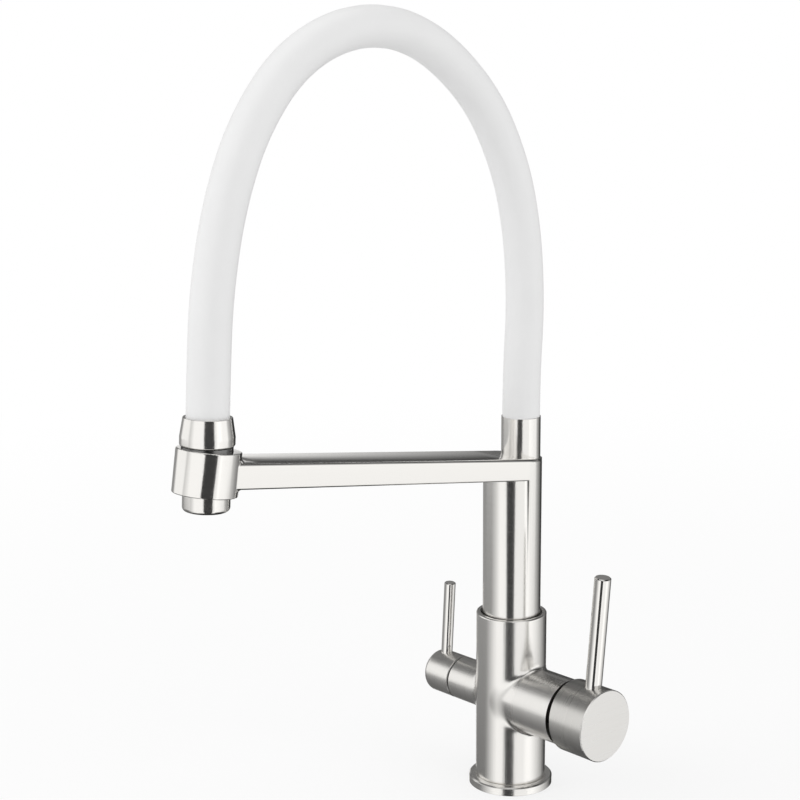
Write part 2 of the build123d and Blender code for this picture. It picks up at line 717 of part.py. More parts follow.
def make_cartridge():
    housing = ring_x(cartridge_radius, cartridge_bore, cartridge_start, cartridge_end, handle_height)
    housing += bar_x(cartridge_radius, cartridge_start, disc_floor, handle_height)
    housing += ring_x(cartridge_radius, cartridge_lip_bore, lip_inside, cartridge_end, handle_height)
    fixed = bar_x(disc_radius, disc_floor, disc_floor + disc_thickness, handle_height)
    seals = []
    for y, z in port_places():
        drill = bar_x(channel_radius, cartridge_start - overrun, disc_floor + disc_thickness + overrun,
                      handle_height + z, y)
        housing -= drill
        fixed -= drill
        seal = bar_x(channel_radius + port_seal_wall, cartridge_start - port_seal_height,
                     cartridge_start, handle_height + z, y)
        seals.append(seal - drill)
    save("cartridge_housing", housing)
    save("fixed_disc", fixed)
    save("cartridge_port_seals", Compound(children=seals))

    nut_end = cartridge_end + nut_thickness
    nut = ring_x(cavity_radius - seat, carrier_neck_radius + nut_play, cartridge_end, nut_end,
                 handle_height)
    notch = Pos(0, cavity_radius, 0) * Box(2 * nut_notch_depth, 4 * nut_notch_depth, nut_notch_width)
    for k in range(nut_notches):
        nut -= Pos(nut_end, 0, handle_height) * Rot(360 * k / nut_notches, 0, 0) * notch
    save("cartridge_nut", nut)

    # The carrier turns with the handle, and the pin in it lets the stem tilt
    low = disc_top + body_gap / 2
    carrier = bar_x(cartridge_bore - running, low, lip_inside - slip, handle_height)
    carrier += bar_x(carrier_neck_radius, low, carrier_end, handle_height)
    half = stem_half_width + running
    carrier -= block((low - overrun, carrier_end + overrun), (-half, half),
                     (handle_height - carrier_slot_half_height, handle_height + carrier_slot_half_height))
    pin_place = Pos(pivot_x, 0, handle_height) * Rot(90, 0, 0)
    carrier -= pin_place * Cylinder(pin_radius + seat, 2 * cartridge_bore)
    save("lever_carrier", carrier)
    save("pivot_pin", pin_place * Cylinder(pin_radius, 2 * (cartridge_bore - pin_end_gap)))

    # The moving disc slides under the stem's tongue
    moving = bar_x(moving_disc_radius, disc_floor + disc_thickness + slip, disc_top, handle_height)
    pocket = stem_tongue_half_width + tongue_play
    moving -= block((disc_top - disc_pocket_depth, disc_top + overrun), (-pocket, pocket),
                    (handle_height - pocket, handle_height + pocket))
    save("moving_disc", moving)


# Mixer handle: the stem, the knob with its relieved rear edge, the lever and its screw
def make_mixer_handle():
    stem_start = disc_top + stem_disc_gap
    stem = block((stem_start, stem_end), (-stem_half_width, stem_half_width),
                 (handle_height - stem_half_width, handle_height + stem_half_width))
    tongue = stem_tongue_half_width
    stem += block((stem_start - stem_tongue_length, stem_start + overrun), (-tongue, tongue),
                  (handle_height - tongue, handle_height + tongue))
    stem -= Pos(pivot_x, 0, handle_height) * Rot(90, 0, 0) * Cylinder(
        pin_radius + running, 4 * stem_half_width)
    save("cartridge_stem", stem)

    knob = bar_x(knob_radius, knob_start, knob_end, handle_height)
    knob = chamfer(knob.edges().group_by(Axis.X)[-1], knob_edge_chamfer)
    # The split widens downwards, which leaves room when the knob tips
    relief_angle = degrees(atan(knob_relief / (2 * knob_radius)))
    knob -= (Pos(knob_start, 0, handle_height + knob_radius) * Rot(0, -relief_angle, 0)
             * Pos(-knob_radius, 0, 0) * Box(2 * knob_radius, 4 * knob_radius, 6 * knob_radius))
    knob = chamfer(knob.edges().group_by(Axis.X)[0], knob_rear_chamfer)
    knob -= bar_x(knob_bore, knob_start - overrun, knob_solid, handle_height)
    half = stem_half_width + seat
    knob -= block((knob_solid - overrun, stem_end + stem_end_gap), (-half, half),
                  (handle_height - half, handle_height + half))
    lever_place = Pos(lever_axis_x, 0, handle_height) * Rot(0, lever_lean, 0)
    knob -= lever_place * rod(lever_radius + seat, lever_seat_radius, 2 * knob_radius)
    knob -= lever_place * rod(lever_spigot_radius + seat, lever_spigot_end - stem_end_gap,
                              lever_seat_radius + overrun)
    screw_x = knob_solid + knob_screw_inset
    knob -= rod(screw_radius, handle_height - 2 * knob_radius, handle_height - stem_half_width, screw_x)
    save("mixer_knob", knob)

    lever = rod(lever_radius, lever_seat_radius, lever_length)
    lever = chamfer(lever.edges().group_by(Axis.Z)[-1], lever_top_chamfer)
    lever += rod(lever_spigot_radius, lever_spigot_end, lever_seat_radius + overrun)
    save("mixer_lever", lever_place * lever)

    tip = handle_height - stem_half_width
    screw = rod(screw_radius - seat, tip - screw_length, tip, screw_x)
    socket = Pos(screw_x, 0, tip - screw_length) * extrude(
        RegularPolygon(screw_hex_radius, 6), amount=screw_hex_depth, both=True)
    save("mixer_knob_screw", screw - socket)


# Filter valve: a quarter-turn ceramic headpart in the smaller branch, with its handle
def make_filter():
    low = filter_floor + filter_seal_height
    end = low + headpart_length
    disc_step = low + filter_disc_thickness
    disc_end = disc_step + filter_disc_thickness
    shoulder = disc_end + spindle_collar
    outer = filter_cavity_radius - seat
    save("filter_valve_seal", ring_x(outer, headpart_bore - body_gap, -filter_floor, -low,
                                     filter_height))
    headpart = ring_x(outer, headpart_bore, -low, -end, filter_height)
    headpart += ring_x(outer, spindle_radius + running, -shoulder, -end, filter_height)
    save("filter_headpart", headpart)

    fixed = bar_x(headpart_bore - seat, -low, -disc_step, filter_height)
    moving = bar_x(headpart_bore - running, -disc_step - slip, -disc_end, filter_height)
    for z in (-filter_port_offset, filter_port_offset):
        fixed -= bar_x(filter_port_radius, -low + overrun, -disc_step - overrun, filter_height + z)
    moving -= block((-disc_end - overrun, -disc_step + overrun), (0, headpart_bore),
                    (filter_height - filter_port_radius, filter_height + filter_port_radius))
    save("filter_fixed_disc", fixed)
    save("filter_moving_disc", moving)
    save("gland_nut", ring_x(outer, spindle_radius + gland_play, -end, -end - gland_thickness,
                             filter_height))

    spindle = bar_x(headpart_bore - running, -disc_end, -shoulder + slip, filter_height)
    spindle += bar_x(spindle_radius, -disc_end, -spindle_end, filter_height)
    flat = block((-spindle_end - overrun, -filter_knob_floor - overrun),
                 (-filter_radius, filter_radius),
                 (filter_height + spindle_flat, filter_height + filter_radius))
    save("filter_spindle", spindle - flat)

    knob = bar_x(filter_radius, -filter_knob_start, -filter_knob_end, filter_height)
    knob = fillet(knob.edges().group_by(Axis.X)[0], filter_knob_fillet)
    knob = chamfer(knob.edges().group_by(Axis.X)[-1], filter_knob_rear_chamfer)
    knob -= bar_x(filter_radius - filter_knob_wall, -filter_knob_start + overrun, -filter_knob_floor,
                  filter_height)
    bore_end = spindle_end + stem_end_gap
    bore = bar_x(spindle_radius + seat, -filter_knob_floor + overrun, -bore_end, filter_height)
    bore -= block((-bore_end - overrun, -filter_knob_floor - overrun - seat),
                  (-filter_radius, filter_radius),
                  (filter_height + spindle_flat + seat, filter_height + filter_radius))
    knob -= bore
    place = Pos(-filter_lever_axis_x, 0, filter_height) * Rot(0, filter_lever_lean, 0)
    knob -= place * rod(filter_lever_radius + seat, filter_lever_seat_radius, 2 * filter_radius)
    knob -= place * rod(filter_lever_spigot_radius + seat, filter_lever_spigot_end - body_gap,
                        filter_lever_seat_radius + overrun)
    screw_x = -filter_knob_floor - filter_screw_setback
    knob -= rod(filter_screw_radius, filter_height - 2 * filter_radius,
                filter_height - spindle_radius + overrun, screw_x)
    save("filter_knob", knob)

    lever = rod(filter_lever_radius, filter_lever_seat_radius, filter_lever_length)
    lever = chamfer(lever.edges().group_by(Axis.Z)[-1], filter_lever_top_chamfer)
    lever += rod(filter_lever_spigot_radius, filter_lever_spigot_end, filter_lever_seat_radius + overrun)
    save("filter_lever", place * lever)

    tip = filter_height - spindle_radius - seat
    screw = rod(filter_screw_radius - seat, tip - screw_length, tip, screw_x)
    socket = Pos(screw_x, 0, tip - screw_length) * extrude(
        RegularPolygon(filter_screw_hex_radius, 6), amount=filter_screw_hex_depth, both=True)
    save("filter_knob_screw", screw - socket)


make_base()
make_body()
make_bearings()
make_spout()
make_riser()
make_hoses()
make_ferrule()
make_head()
make_cartridge()
make_mixer_handle()
make_filter()
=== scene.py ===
import bpy
import bmesh
import math
from mathutils import Matrix, Vector


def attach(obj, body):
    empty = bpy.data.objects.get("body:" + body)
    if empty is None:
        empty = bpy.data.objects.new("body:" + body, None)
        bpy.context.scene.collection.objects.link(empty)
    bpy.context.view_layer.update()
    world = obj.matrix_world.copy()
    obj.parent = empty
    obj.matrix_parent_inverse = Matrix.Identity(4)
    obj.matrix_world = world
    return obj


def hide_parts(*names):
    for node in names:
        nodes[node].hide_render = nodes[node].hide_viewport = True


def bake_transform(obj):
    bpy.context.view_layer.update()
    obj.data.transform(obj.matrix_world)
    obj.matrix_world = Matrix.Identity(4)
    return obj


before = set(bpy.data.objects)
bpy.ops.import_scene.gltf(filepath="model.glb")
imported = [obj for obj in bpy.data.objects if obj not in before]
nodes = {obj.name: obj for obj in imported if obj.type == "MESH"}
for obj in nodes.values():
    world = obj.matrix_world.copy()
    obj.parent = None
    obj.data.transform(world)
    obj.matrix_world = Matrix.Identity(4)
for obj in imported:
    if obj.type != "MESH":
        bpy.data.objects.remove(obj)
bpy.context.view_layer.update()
scene = bpy.context.scene
scene.view_settings.view_transform = "Standard"

# Camera
# The tap is seen from the right of its front, a little above the arm, with a long lens.
# Its place comes from the measured edges of the photograph.
camera_place = Vector((0.71101, -0.72789, 0.44174))
camera_target = Vector((-0.04388, -0.04878, 0.23526))
camera_roll = math.radians(-0.321)
camera = bpy.data.objects.new("camera", bpy.data.cameras.new("camera"))
scene.collection.objects.link(camera)
camera.data.lens = 80.31
camera.data.sensor_width = 36.0
camera.data.clip_start = 0.05
camera.data.clip_end = 50.0
camera.location = camera_place
facing = (camera_target - camera_place).to_track_quat("-Z", "Y")
camera.rotation_mode = "QUATERNION"
camera.rotation_quaternion = facing @ Matrix.Rotation(camera_roll, 3, "Z").to_quaternion()
scene.camera = camera


# Arched hose
# A thick light grey silicone sleeve with two water hoses in it. It leaves the riser pipe,
# arches over and ends in the ferrule above the holder ring.
arch_points = [
    (0.0, 0.0068, 0.2157),
    (0.0, 0.0068, 0.2497),
    (0.0, 0.0098, 0.2893),
    (0.0, 0.0066, 0.3330),
    (0.0, -0.0039, 0.3718),
    (0.0, -0.0279, 0.4118),
    (0.0, -0.0710, 0.4435),
    (0.0, -0.1158, 0.4496),
    (0.0, -0.1580, 0.4335),
    (0.0, -0.1874, 0.4001),
    (0.0, -0.2042, 0.3605),
    (0.0, -0.2131, 0.3176),
    (0.0, -0.2159, 0.2809),
    (0.0, -0.217586, 0.24945),
]
sleeve_radius = 0.011
riser_setback = 0.0068
hose_pair = {"mixed": (0.0034, 0.0042), "filtered": (-0.0046, 0.0028)}     # side, radius


def hose_line(name, points, side, radius):
    """A smooth hose on a NURBS line that the route's points lead, shifted to one side."""
    curve = bpy.data.curves.new(name, "CURVE")
    curve.dimensions = "3D"
    curve.resolution_u = 14
    curve.bevel_depth = radius
    curve.bevel_resolution = 12
    line = curve.splines.new("NURBS")
    line.points.add(len(points) - 1)
    for point, (x, y, z) in zip(line.points, points):
        point.co = (x + side, y, z, 1.0)
    line.order_u = 3
    line.use_endpoint_u = True
    hose = bpy.data.objects.new(name, curve)
    scene.collection.objects.link(hose)
    return hose


def as_mesh(thing, material=None):
    """The same piece as a plain smooth mesh, its modifiers applied."""
    bpy.context.view_layer.update()
    depsgraph = bpy.context.evaluated_depsgraph_get()
    mesh = bpy.data.meshes.new_from_object(thing.evaluated_get(depsgraph))
    name = thing.name
    bpy.data.objects.remove(thing)
    piece = bpy.data.objects.new(name, mesh)
    mesh.name = name
    scene.collection.objects.link(piece)
    if material:
        mesh.materials.clear()
        mesh.materials.append(material)
    return piece


def centre_line(points):
    """Points close together along the hose's own line."""
    thread = hose_line("thread", points, 0.0, 0.0)
    depsgraph = bpy.context.evaluated_depsgraph_get()
    mesh = bpy.data.meshes.new_from_object(thread.evaluated_get(depsgraph))
    path = [tuple(v.co) for v in mesh.vertices]
    bpy.data.meshes.remove(mesh)
    bpy.data.objects.remove(thread)
    return path


def new_material(name, roughness):
    """A node material with its tree and Principled shader."""
    material = bpy.data.materials.new(name)
    material.use_nodes = True
    shader = material.node_tree.nodes["Principled BSDF"]
    shader.inputs["Roughness"].default_value = roughness
    return material, material.node_tree, shader


def mottled(name, dark, light, roughness, grain, grain_depth):
    """A plain stuff whose colour clouds a little and whose skin has a fine grain."""
    cloud_scale, cloud_detail, grain_strength = 55.0, 4.0, 0.3
    material, tree, shader = new_material(name, roughness)
    place = tree.nodes.new("ShaderNodeTexCoord")
    clouds = tree.nodes.new("ShaderNodeTexNoise")
    clouds.inputs["Scale"].default_value = cloud_scale
    clouds.inputs["Detail"].default_value = cloud_detail
    tint = tree.nodes.new("ShaderNodeMix")
    tint.data_type = "RGBA"
    tint.inputs["A"].default_value = (*dark, 1)
    tint.inputs["B"].default_value = (*light, 1)
    skin = tree.nodes.new("ShaderNodeTexNoise")
    skin.inputs["Scale"].default_value = grain
    bump = tree.nodes.new("ShaderNodeBump")
    bump.inputs["Strength"].default_value = grain_strength
    bump.inputs["Distance"].default_value = grain_depth
    tree.links.new(place.outputs["Object"], clouds.inputs["Vector"])
    tree.links.new(place.outputs["Object"], skin.inputs["Vector"])
    tree.links.new(clouds.outputs["Fac"], tint.inputs["Factor"])
    tree.links.new(tint.outputs["Result"], shader.inputs["Base Color"])
    tree.links.new(skin.outputs["Fac"], bump.inputs["Height"])
    tree.links.new(bump.outputs["Normal"], shader.inputs["Normal"])
    return material, shader


silicone, shader = mottled("light_grey_silicone", (0.80, 0.80, 0.80), (0.83, 0.83, 0.83),
                           0.5, 900.0, 0.00002)
shader.inputs["IOR"].default_value = 1.41
shader.inputs["Sheen Weight"].default_value = 0.12
shader.inputs["Sheen Roughness"].default_value = 0.6
water_hose, shader = mottled("grey_water_hose", (0.48, 0.50, 0.53), (0.56, 0.58, 0.61),
                             0.32, 300.0, 0.00002)

sleeve = as_mesh(hose_line("silicone_sleeve", arch_points, 0.0, sleeve_radius), silicone)
sleeve.data.shade_smooth()
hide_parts("hose_sleeve")
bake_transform(sleeve)
sleeve_path = centre_line(arch_points)

for water, (side, radius) in hose_pair.items():
    inner = as_mesh(hose_line(water + "_water_hose_in_arch", arch_points, side, radius), water_hose)
    inner.data.shade_smooth()
    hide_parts(water + "_water_hose")
    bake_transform(inner)


# Base flange
# A turned flange of nickel-plated brass, satin brushed all round, stands on the worktop. A flat
# rubber seal lies in a groove under it, and the brass inlet block stands inside it.
crisp_angle = math.radians(40)      # an edge that turns more than this stays crisp
weld_gap = 1e-6


def make_turning_tree():
    """Turns an outline, X across and Z along, once round the Z axis, with its corners rounded."""
    tree = bpy.data.node_groups.new("turned_part", "GeometryNodeTree")
    socket = tree.interface.new_socket
    socket("Outline", in_out="INPUT", socket_type="NodeSocketGeometry")
    socket("Steps Round", in_out="INPUT", socket_type="NodeSocketInt")
    socket("Corner Steps", in_out="INPUT", socket_type="NodeSocketInt")
    socket("Metal", in_out="INPUT", socket_type="NodeSocketMaterial")
    socket("Turned Part", in_out="OUTPUT", socket_type="NodeSocketGeometry")
    add, link = tree.nodes.new, tree.links.new
    given = add("NodeGroupInput")
    outline = add("GeometryNodeMeshToCurve")
    link(given.outputs["Outline"], outline.inputs["Mesh"])
    corner = add("GeometryNodeInputNamedAttribute")
    corner.data_type = "FLOAT"
    corner.inputs["Name"].default_value = "corner_radius"
    rounded = add("GeometryNodeFilletCurve")
    rounded.mode = "POLY"
    rounded.inputs["Limit Radius"].default_value = True
    link(outline.outputs["Curve"], rounded.inputs["Curve"])
    link(corner.outputs["Attribute"], rounded.inputs["Radius"])
    link(given.outputs["Corner Steps"], rounded.inputs["Count"])
    path_radius = 0.01
    profile = add("GeometryNodeTransform")
    profile.inputs["Translation"].default_value = (-path_radius, 0, 0)
    profile.inputs["Rotation"].default_value = (math.radians(90), 0, 0)
    link(rounded.outputs["Curve"], profile.inputs["Geometry"])
    path = add("GeometryNodeCurvePrimitiveCircle")
    path.inputs["Radius"].default_value = path_radius
    link(given.outputs["Steps Round"], path.inputs["Resolution"])
    skin = add("GeometryNodeCurveToMesh")
    link(path.outputs["Curve"], skin.inputs["Curve"])
    link(profile.outputs["Geometry"], skin.inputs["Profile Curve"])
    realized = add("GeometryNodeRealizeInstances")
    link(skin.outputs["Mesh"], realized.inputs["Geometry"])
    surface = add("GeometryNodeSetMaterial")
    link(realized.outputs["Geometry"], surface.inputs["Geometry"])
    link(given.outputs["Metal"], surface.inputs["Material"])
    result = add("NodeGroupOutput")
    link(surface.outputs["Geometry"], result.inputs["Turned Part"])
    return tree


turning_tree = make_turning_tree()


def grown(tree, name, mesh, **inputs):
    """The mesh that a node tree makes from another mesh, with its inputs set by name."""
    piece = bpy.data.objects.new(name, mesh)
    scene.collection.objects.link(piece)
    modifier = piece.modifiers.new(tree.name, "NODES")
    modifier.node_group = tree
    for item in tree.interface.items_tree:
        if item.in_out == "INPUT" and item.name.replace(" ", "_") in inputs:
            modifier[item.identifier] = inputs[item.name.replace(" ", "_")]
    return as_mesh(piece)


def finished(piece):
    """Welds the mesh, turns its faces outwards and shades it smooth, with crisp corners."""
    work = bmesh.new()
    work.from_mesh(piece.data)
    bmesh.ops.remove_doubles(work, verts=work.verts, dist=weld_gap)
    bmesh.ops.dissolve_degenerate(work, edges=work.edges, dist=weld_gap / 10)
    bmesh.ops.recalc_face_normals(work, faces=work.faces)
    for face in work.faces:
        face.smooth = True
    for edge in work.edges:
        edge.smooth = len(edge.link_faces) == 2 and edge.calc_face_angle(0) < crisp_angle
    work.to_mesh(piece.data)
    work.free()
    shading = piece.modifiers.new("shading", "WEIGHTED_NORMAL")
    shading.keep_sharp = True
    return as_mesh(piece)


def fitted(piece, body, node):
    """The piece rides on its body and stands in for its CAD node, which it hides."""
    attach(piece, body)
    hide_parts(node)
    return piece


def turned_piece(name, outline, metal, place=None, steps=128, corner_steps=5):
    """A turned part from (radius, along, corner radius) points in millimetres."""
    closed = min(radius for radius, _, _ in outline) > 0
    last = len(outline) - 1
    edges = [(k, k + 1) for k in range(last)] + ([(last, 0)] if closed else [])
    mesh = bpy.data.meshes.new(name)
    mesh.from_pydata([(radius / 1000, 0, along / 1000) for radius, along, _ in outline], edges, [])
    corners = mesh.attributes.new("corner_radius", "FLOAT", "POINT")
    corners.data.foreach_set("value", [corner / 1000 for _, _, corner in outline])
    piece = grown(turning_tree, name, mesh, Steps_Round=steps, Corner_Steps=corner_steps,
                  Metal=metal)
    if place:
        piece.data.transform(place)
    return finished(piece)


def make_brush_group():
    """Fine brush lines: a tone, roughness and height that change across the lines."""
    broad_scale, broad_share, roughness_swing = 0.17, 0.3, 0.12
    group = bpy.data.node_groups.new("brush_lines", "ShaderNodeTree")
    socket = group.interface.new_socket
    socket("Line Coordinates", in_out="INPUT", socket_type="NodeSocketVector")
    socket("Deep Tone", in_out="INPUT", socket_type="NodeSocketColor")
    socket("High Tone", in_out="INPUT", socket_type="NodeSocketColor")
    socket("Depth", in_out="INPUT", socket_type="NodeSocketFloat")
    socket("Base Roughness", in_out="INPUT", socket_type="NodeSocketFloat")
    socket("Color", in_out="OUTPUT", socket_type="NodeSocketColor")
    socket("Roughness", in_out="OUTPUT", socket_type="NodeSocketFloat")
    socket("Height", in_out="OUTPUT", socket_type="NodeSocketFloat")
    add, link = group.nodes.new, group.links.new
    given = add("NodeGroupInput")
    result = add("NodeGroupOutput")
    fine = add("ShaderNodeTexNoise")
    fine.inputs["Scale"].default_value = 1.0
    fine.inputs["Detail"].default_value = 3.0
    fine.inputs["Roughness"].default_value = 0.65
    link(given.outputs["Line Coordinates"], fine.inputs["Vector"])
    wider = add("ShaderNodeVectorMath")
    wider.operation = "SCALE"
    wider.inputs["Scale"].default_value = broad_scale
    link(given.outputs["Line Coordinates"], wider.inputs[0])
    broad = add("ShaderNodeTexNoise")
    broad.inputs["Scale"].default_value = 1.0
    broad.inputs["Detail"].default_value = 1.0
    link(wider.outputs["Vector"], broad.inputs["Vector"])
    lines = add("ShaderNodeMix")
    lines.inputs["Factor"].default_value = broad_share
    link(fine.outputs["Fac"], lines.inputs["A"])
    link(broad.outputs["Fac"], lines.inputs["B"])
    spread = add("ShaderNodeMapRange")
    spread.inputs["From Min"].default_value = 0.3
    spread.inputs["From Max"].default_value = 0.7
    spread.inputs["To Min"].default_value = -roughness_swing
    spread.inputs["To Max"].default_value = roughness_swing
    link(lines.outputs["Result"], spread.inputs["Value"])
    rough = add("ShaderNodeMath")
    rough.operation = "MULTIPLY_ADD"
    rough.use_clamp = True
    link(spread.outputs["Result"], rough.inputs[0])
    link(given.outputs["Depth"], rough.inputs[1])
    link(given.outputs["Base Roughness"], rough.inputs[2])
    link(rough.outputs["Value"], result.inputs["Roughness"])
    tone = add("ShaderNodeMix")
    tone.data_type = "RGBA"
    link(lines.outputs["Result"], tone.inputs["Factor"])
    link(given.outputs["Deep Tone"], tone.inputs["A"])
    link(given.outputs["High Tone"], tone.inputs["B"])
    link(tone.outputs["Result"], result.inputs["Color"])
    link(lines.outputs["Result"], result.inputs["Height"])
    return group


brush_lines = make_brush_group()
nickel_tones = ((0.83, 0.815, 0.79), (0.89, 0.88, 0.86))
brass_tones = ((0.62, 0.44, 0.20), (0.78, 0.60, 0.33))
steel_tones = ((0.60, 0.59, 0.57), (0.72, 0.71, 0.70))


def brush_node(tree, tones, line_scale, roughness, depth, lean=0.0):
    """The brush lines in one material, across the axes with the high scale."""
    place = tree.nodes.new("ShaderNodeTexCoord")
    mapping = tree.nodes.new("ShaderNodeMapping")
    mapping.vector_type = "TEXTURE"
    mapping.inputs["Rotation"].default_value = (math.radians(lean), 0, 0)
    mapping.inputs["Scale"].default_value = [1.0 / s for s in line_scale]
    lines = tree.nodes.new("ShaderNodeGroup")
    lines.node_tree = brush_lines
    lines.inputs["Deep Tone"].default_value = (*tones[0], 1)
    lines.inputs["High Tone"].default_value = (*tones[1], 1)
    lines.inputs["Depth"].default_value = depth
    lines.inputs["Base Roughness"].default_value = roughness
    tree.links.new(place.outputs["Object"], mapping.inputs["Vector"])
    tree.links.new(mapping.outputs["Vector"], lines.inputs["Line Coordinates"])
    return lines


def metal_surface(tree, shader, colour, roughness, height, depth, spread):
    """Feeds the metal's shader. A spread draws the highlights of an upright turned part out
    along its axis."""
    line_strength, line_height = 0.12, 0.00004
    bump = tree.nodes.new("ShaderNodeBump")
    bump.inputs["Strength"].default_value = line_strength * depth
    bump.inputs["Distance"].default_value = line_height
    tree.links.new(height, bump.inputs["Height"])
    tree.links.new(colour, shader.inputs["Base Color"])
    tree.links.new(roughness, shader.inputs["Roughness"])
    tree.links.new(bump.outputs["Normal"], shader.inputs["Normal"])
    shader.inputs["Metallic"].default_value = 1.0
    shader.inputs["Anisotropic"].default_value = spread
    shader.inputs["Anisotropic Rotation"].default_value = 0.25


def brushed(name, tones, line_scale, roughness, depth=0.4, lean=0.0, spread=0.0):
    """Brushed metal with its lines in one direction."""
    material, tree, shader = new_material(name, roughness)
    lines = brush_node(tree, tones, line_scale, roughness, depth, lean)
    metal_surface(tree, shader, lines.outputs["Color"], lines.outputs["Roughness"],
                  lines.outputs["Height"], depth, spread)
    return material


def dressed(material, *names):
    """CAD nodes that show as they are, in their own material."""
    for name in names:
        nodes[name].data.materials.clear()
        nodes[name].data.materials.append(material)


round_z = (16.0, 16.0, 2800.0)      # lines of a part turned about an upright axis
round_x = (2800.0, 16.0, 16.0)      # lines of a part turned about the handles' axis
flange_nickel = brushed("satin_nickel_flange", nickel_tones, round_z, 0.22, spread=0.5)
machined_brass = brushed("machined_brass", brass_tones, round_z, 0.34)
black_rubber, shader = mottled("black_rubber", (0.012, 0.012, 0.012), (0.03, 0.03, 0.03),
                               0.75, 700.0, 0.00006)

turned_flange = turned_piece("turned_base_flange", [
    (17.62, 0, 0), (20.58, 0, 0), (20.58, 2.22, 0), (23.22, 2.22, 0), (23.22, 0, 0), (25, 0, 0.15),
    (25, 4.2, 0.3), (24.2, 5.0, 0.3), (21.9, 5.0, 0), (21.9, 5.4, 0.1), (17.62, 5.4, 0),
], flange_nickel, steps=160)
fitted(turned_flange, "tap_body", "base_flange")
flat_seal = turned_piece("flat_rubber_seal", [
    (20.6, 0, 0.2), (23.2, 0, 0.2), (23.2, 2.2, 0.2), (20.6, 2.2, 0.2),
], black_rubber)
fitted(flat_seal, "tap_body", "base_seal")
dressed(machined_brass, "inlet_block")


# Body casting
# One brass casting: an upright tube with a branch for the mixer cartridge on its right and a
# smaller one for the filtered water on its left. It is brushed round each, and polishing has
# softened the edges where the branches meet the tube.
tube_radius = 0.0209
handle_height = 0.0562
filter_height = 0.0540
branches = {1: (0.0195, handle_height), -1: (0.0130, filter_height)}      # side: radius, height
branch_root = 0.0075        # where a branch begins, from the tube's axis
root_fade = 55              # how fast its pull on the skin ends there, per metre
junction_blend = 0.003


def soft_union(first, second):
    """The nearer of two distances, with a soft change from one to the other."""
    overlap = max(junction_blend - abs(first - second), 0) / junction_blend
    return min(first, second) - overlap * overlap * junction_blend / 4


def casting_distance(point):
    """How far a point lies outside the casting's skin. A branch ends inside the tube."""
    radius, height = branches[1 if point.x > 0 else -1]
    inside = max(branch_root - abs(point.x), 0)
    return soft_union(math.hypot(point.x, point.y) - tube_radius,
                      math.hypot(point.y, point.z - height) - radius + root_fade * inside * inside)


def soften_junctions(mesh):
    """Cuts the skin round the branches finely and lays it on the softly joined surface."""
    lowest, highest, widest = 0.0320, 0.0815, 0.0265
    cut_depth, move_depth, rounds = 0.0011, 0.0009, 3
    side_cuts, height_cuts = range(-24, 27), range(33, 81)      # millimetres
    probe = 1e-5
    probes = (Vector((probe, 0, 0)), Vector((0, probe, 0)), Vector((0, 0, probe)))
    work = bmesh.new()
    work.from_mesh(mesh)
    bmesh.ops.remove_doubles(work, verts=work.verts, dist=weld_gap)

    def on_skin(face):
        heights = [vert.co.z for vert in face.verts]
        return (max(heights) > lowest and min(heights) < highest
                and casting_distance(face.calc_center_median()) > -cut_depth)

    skin = [face for face in work.faces if on_skin(face)]
    cut = [*skin, *{edge for face in skin for edge in face.edges},
           *{vert for face in skin for vert in face.verts}]
    places = [((0.001 * k, 0, 0), (1, 0, 0)) for k in side_cuts]
    places += [((0, 0, 0.001 * k), (0, 0, 1)) for k in height_cuts]
    for place, direction in places:
        cut = bmesh.ops.bisect_plane(work, geom=cut, plane_co=place, plane_no=direction,
                                     dist=weld_gap)["geom"]
    moved = [vert for vert in cut if isinstance(vert, bmesh.types.BMVert)
             and abs(vert.co.x) < widest and lowest < vert.co.z < highest
             and casting_distance(vert.co) > -move_depth]
    for vert in moved:      # a few steps down the slope bring it onto the surface
        for _ in range(rounds):
            changes = [casting_distance(vert.co + shift) - casting_distance(vert.co - shift)
                       for shift in probes]
            slope = Vector([change / (2 * probe) for change in changes])
            vert.co -= slope * (casting_distance(vert.co) / slope.length_squared)
    work.to_mesh(mesh)
    work.free()


def cast_piece(node, name, metals, choose, soften=None):
    """A CAD node's own shape, smooth shaded. Each face takes the metal that choose gives it."""
    piece = bpy.data.objects.new(name, nodes[node].data.copy())
    scene.collection.objects.link(piece)
    piece.data.materials.clear()
    for metal in metals:
        piece.data.materials.append(metal)
    if soften:
        soften(piece.data)
    for face in piece.data.polygons:
        face.material_index = choose(face.center)
    return finished(piece)


def one_metal(middle):
    """For a piece of one metal all over."""
    return 0


def soft_mask(tree, place, start, end):
    """A mask that rises softly from 0 at the start to 1 at the end."""
    mask = tree.nodes.new("ShaderNodeMapRange")
    mask.interpolation_type = "SMOOTHSTEP"
    mask.inputs["From Min"].default_value = start
    mask.inputs["From Max"].default_value = end
    tree.links.new(place, mask.inputs["Value"])
    return mask.outputs["Result"]


def both_masks(tree, first, second):
    """The part that both masks cover."""
    both = tree.nodes.new("ShaderNodeMath")
    both.operation = "MULTIPLY"
    tree.links.new(first, both.inputs[0])
    tree.links.new(second, both.inputs[1])
    return both.outputs["Value"]


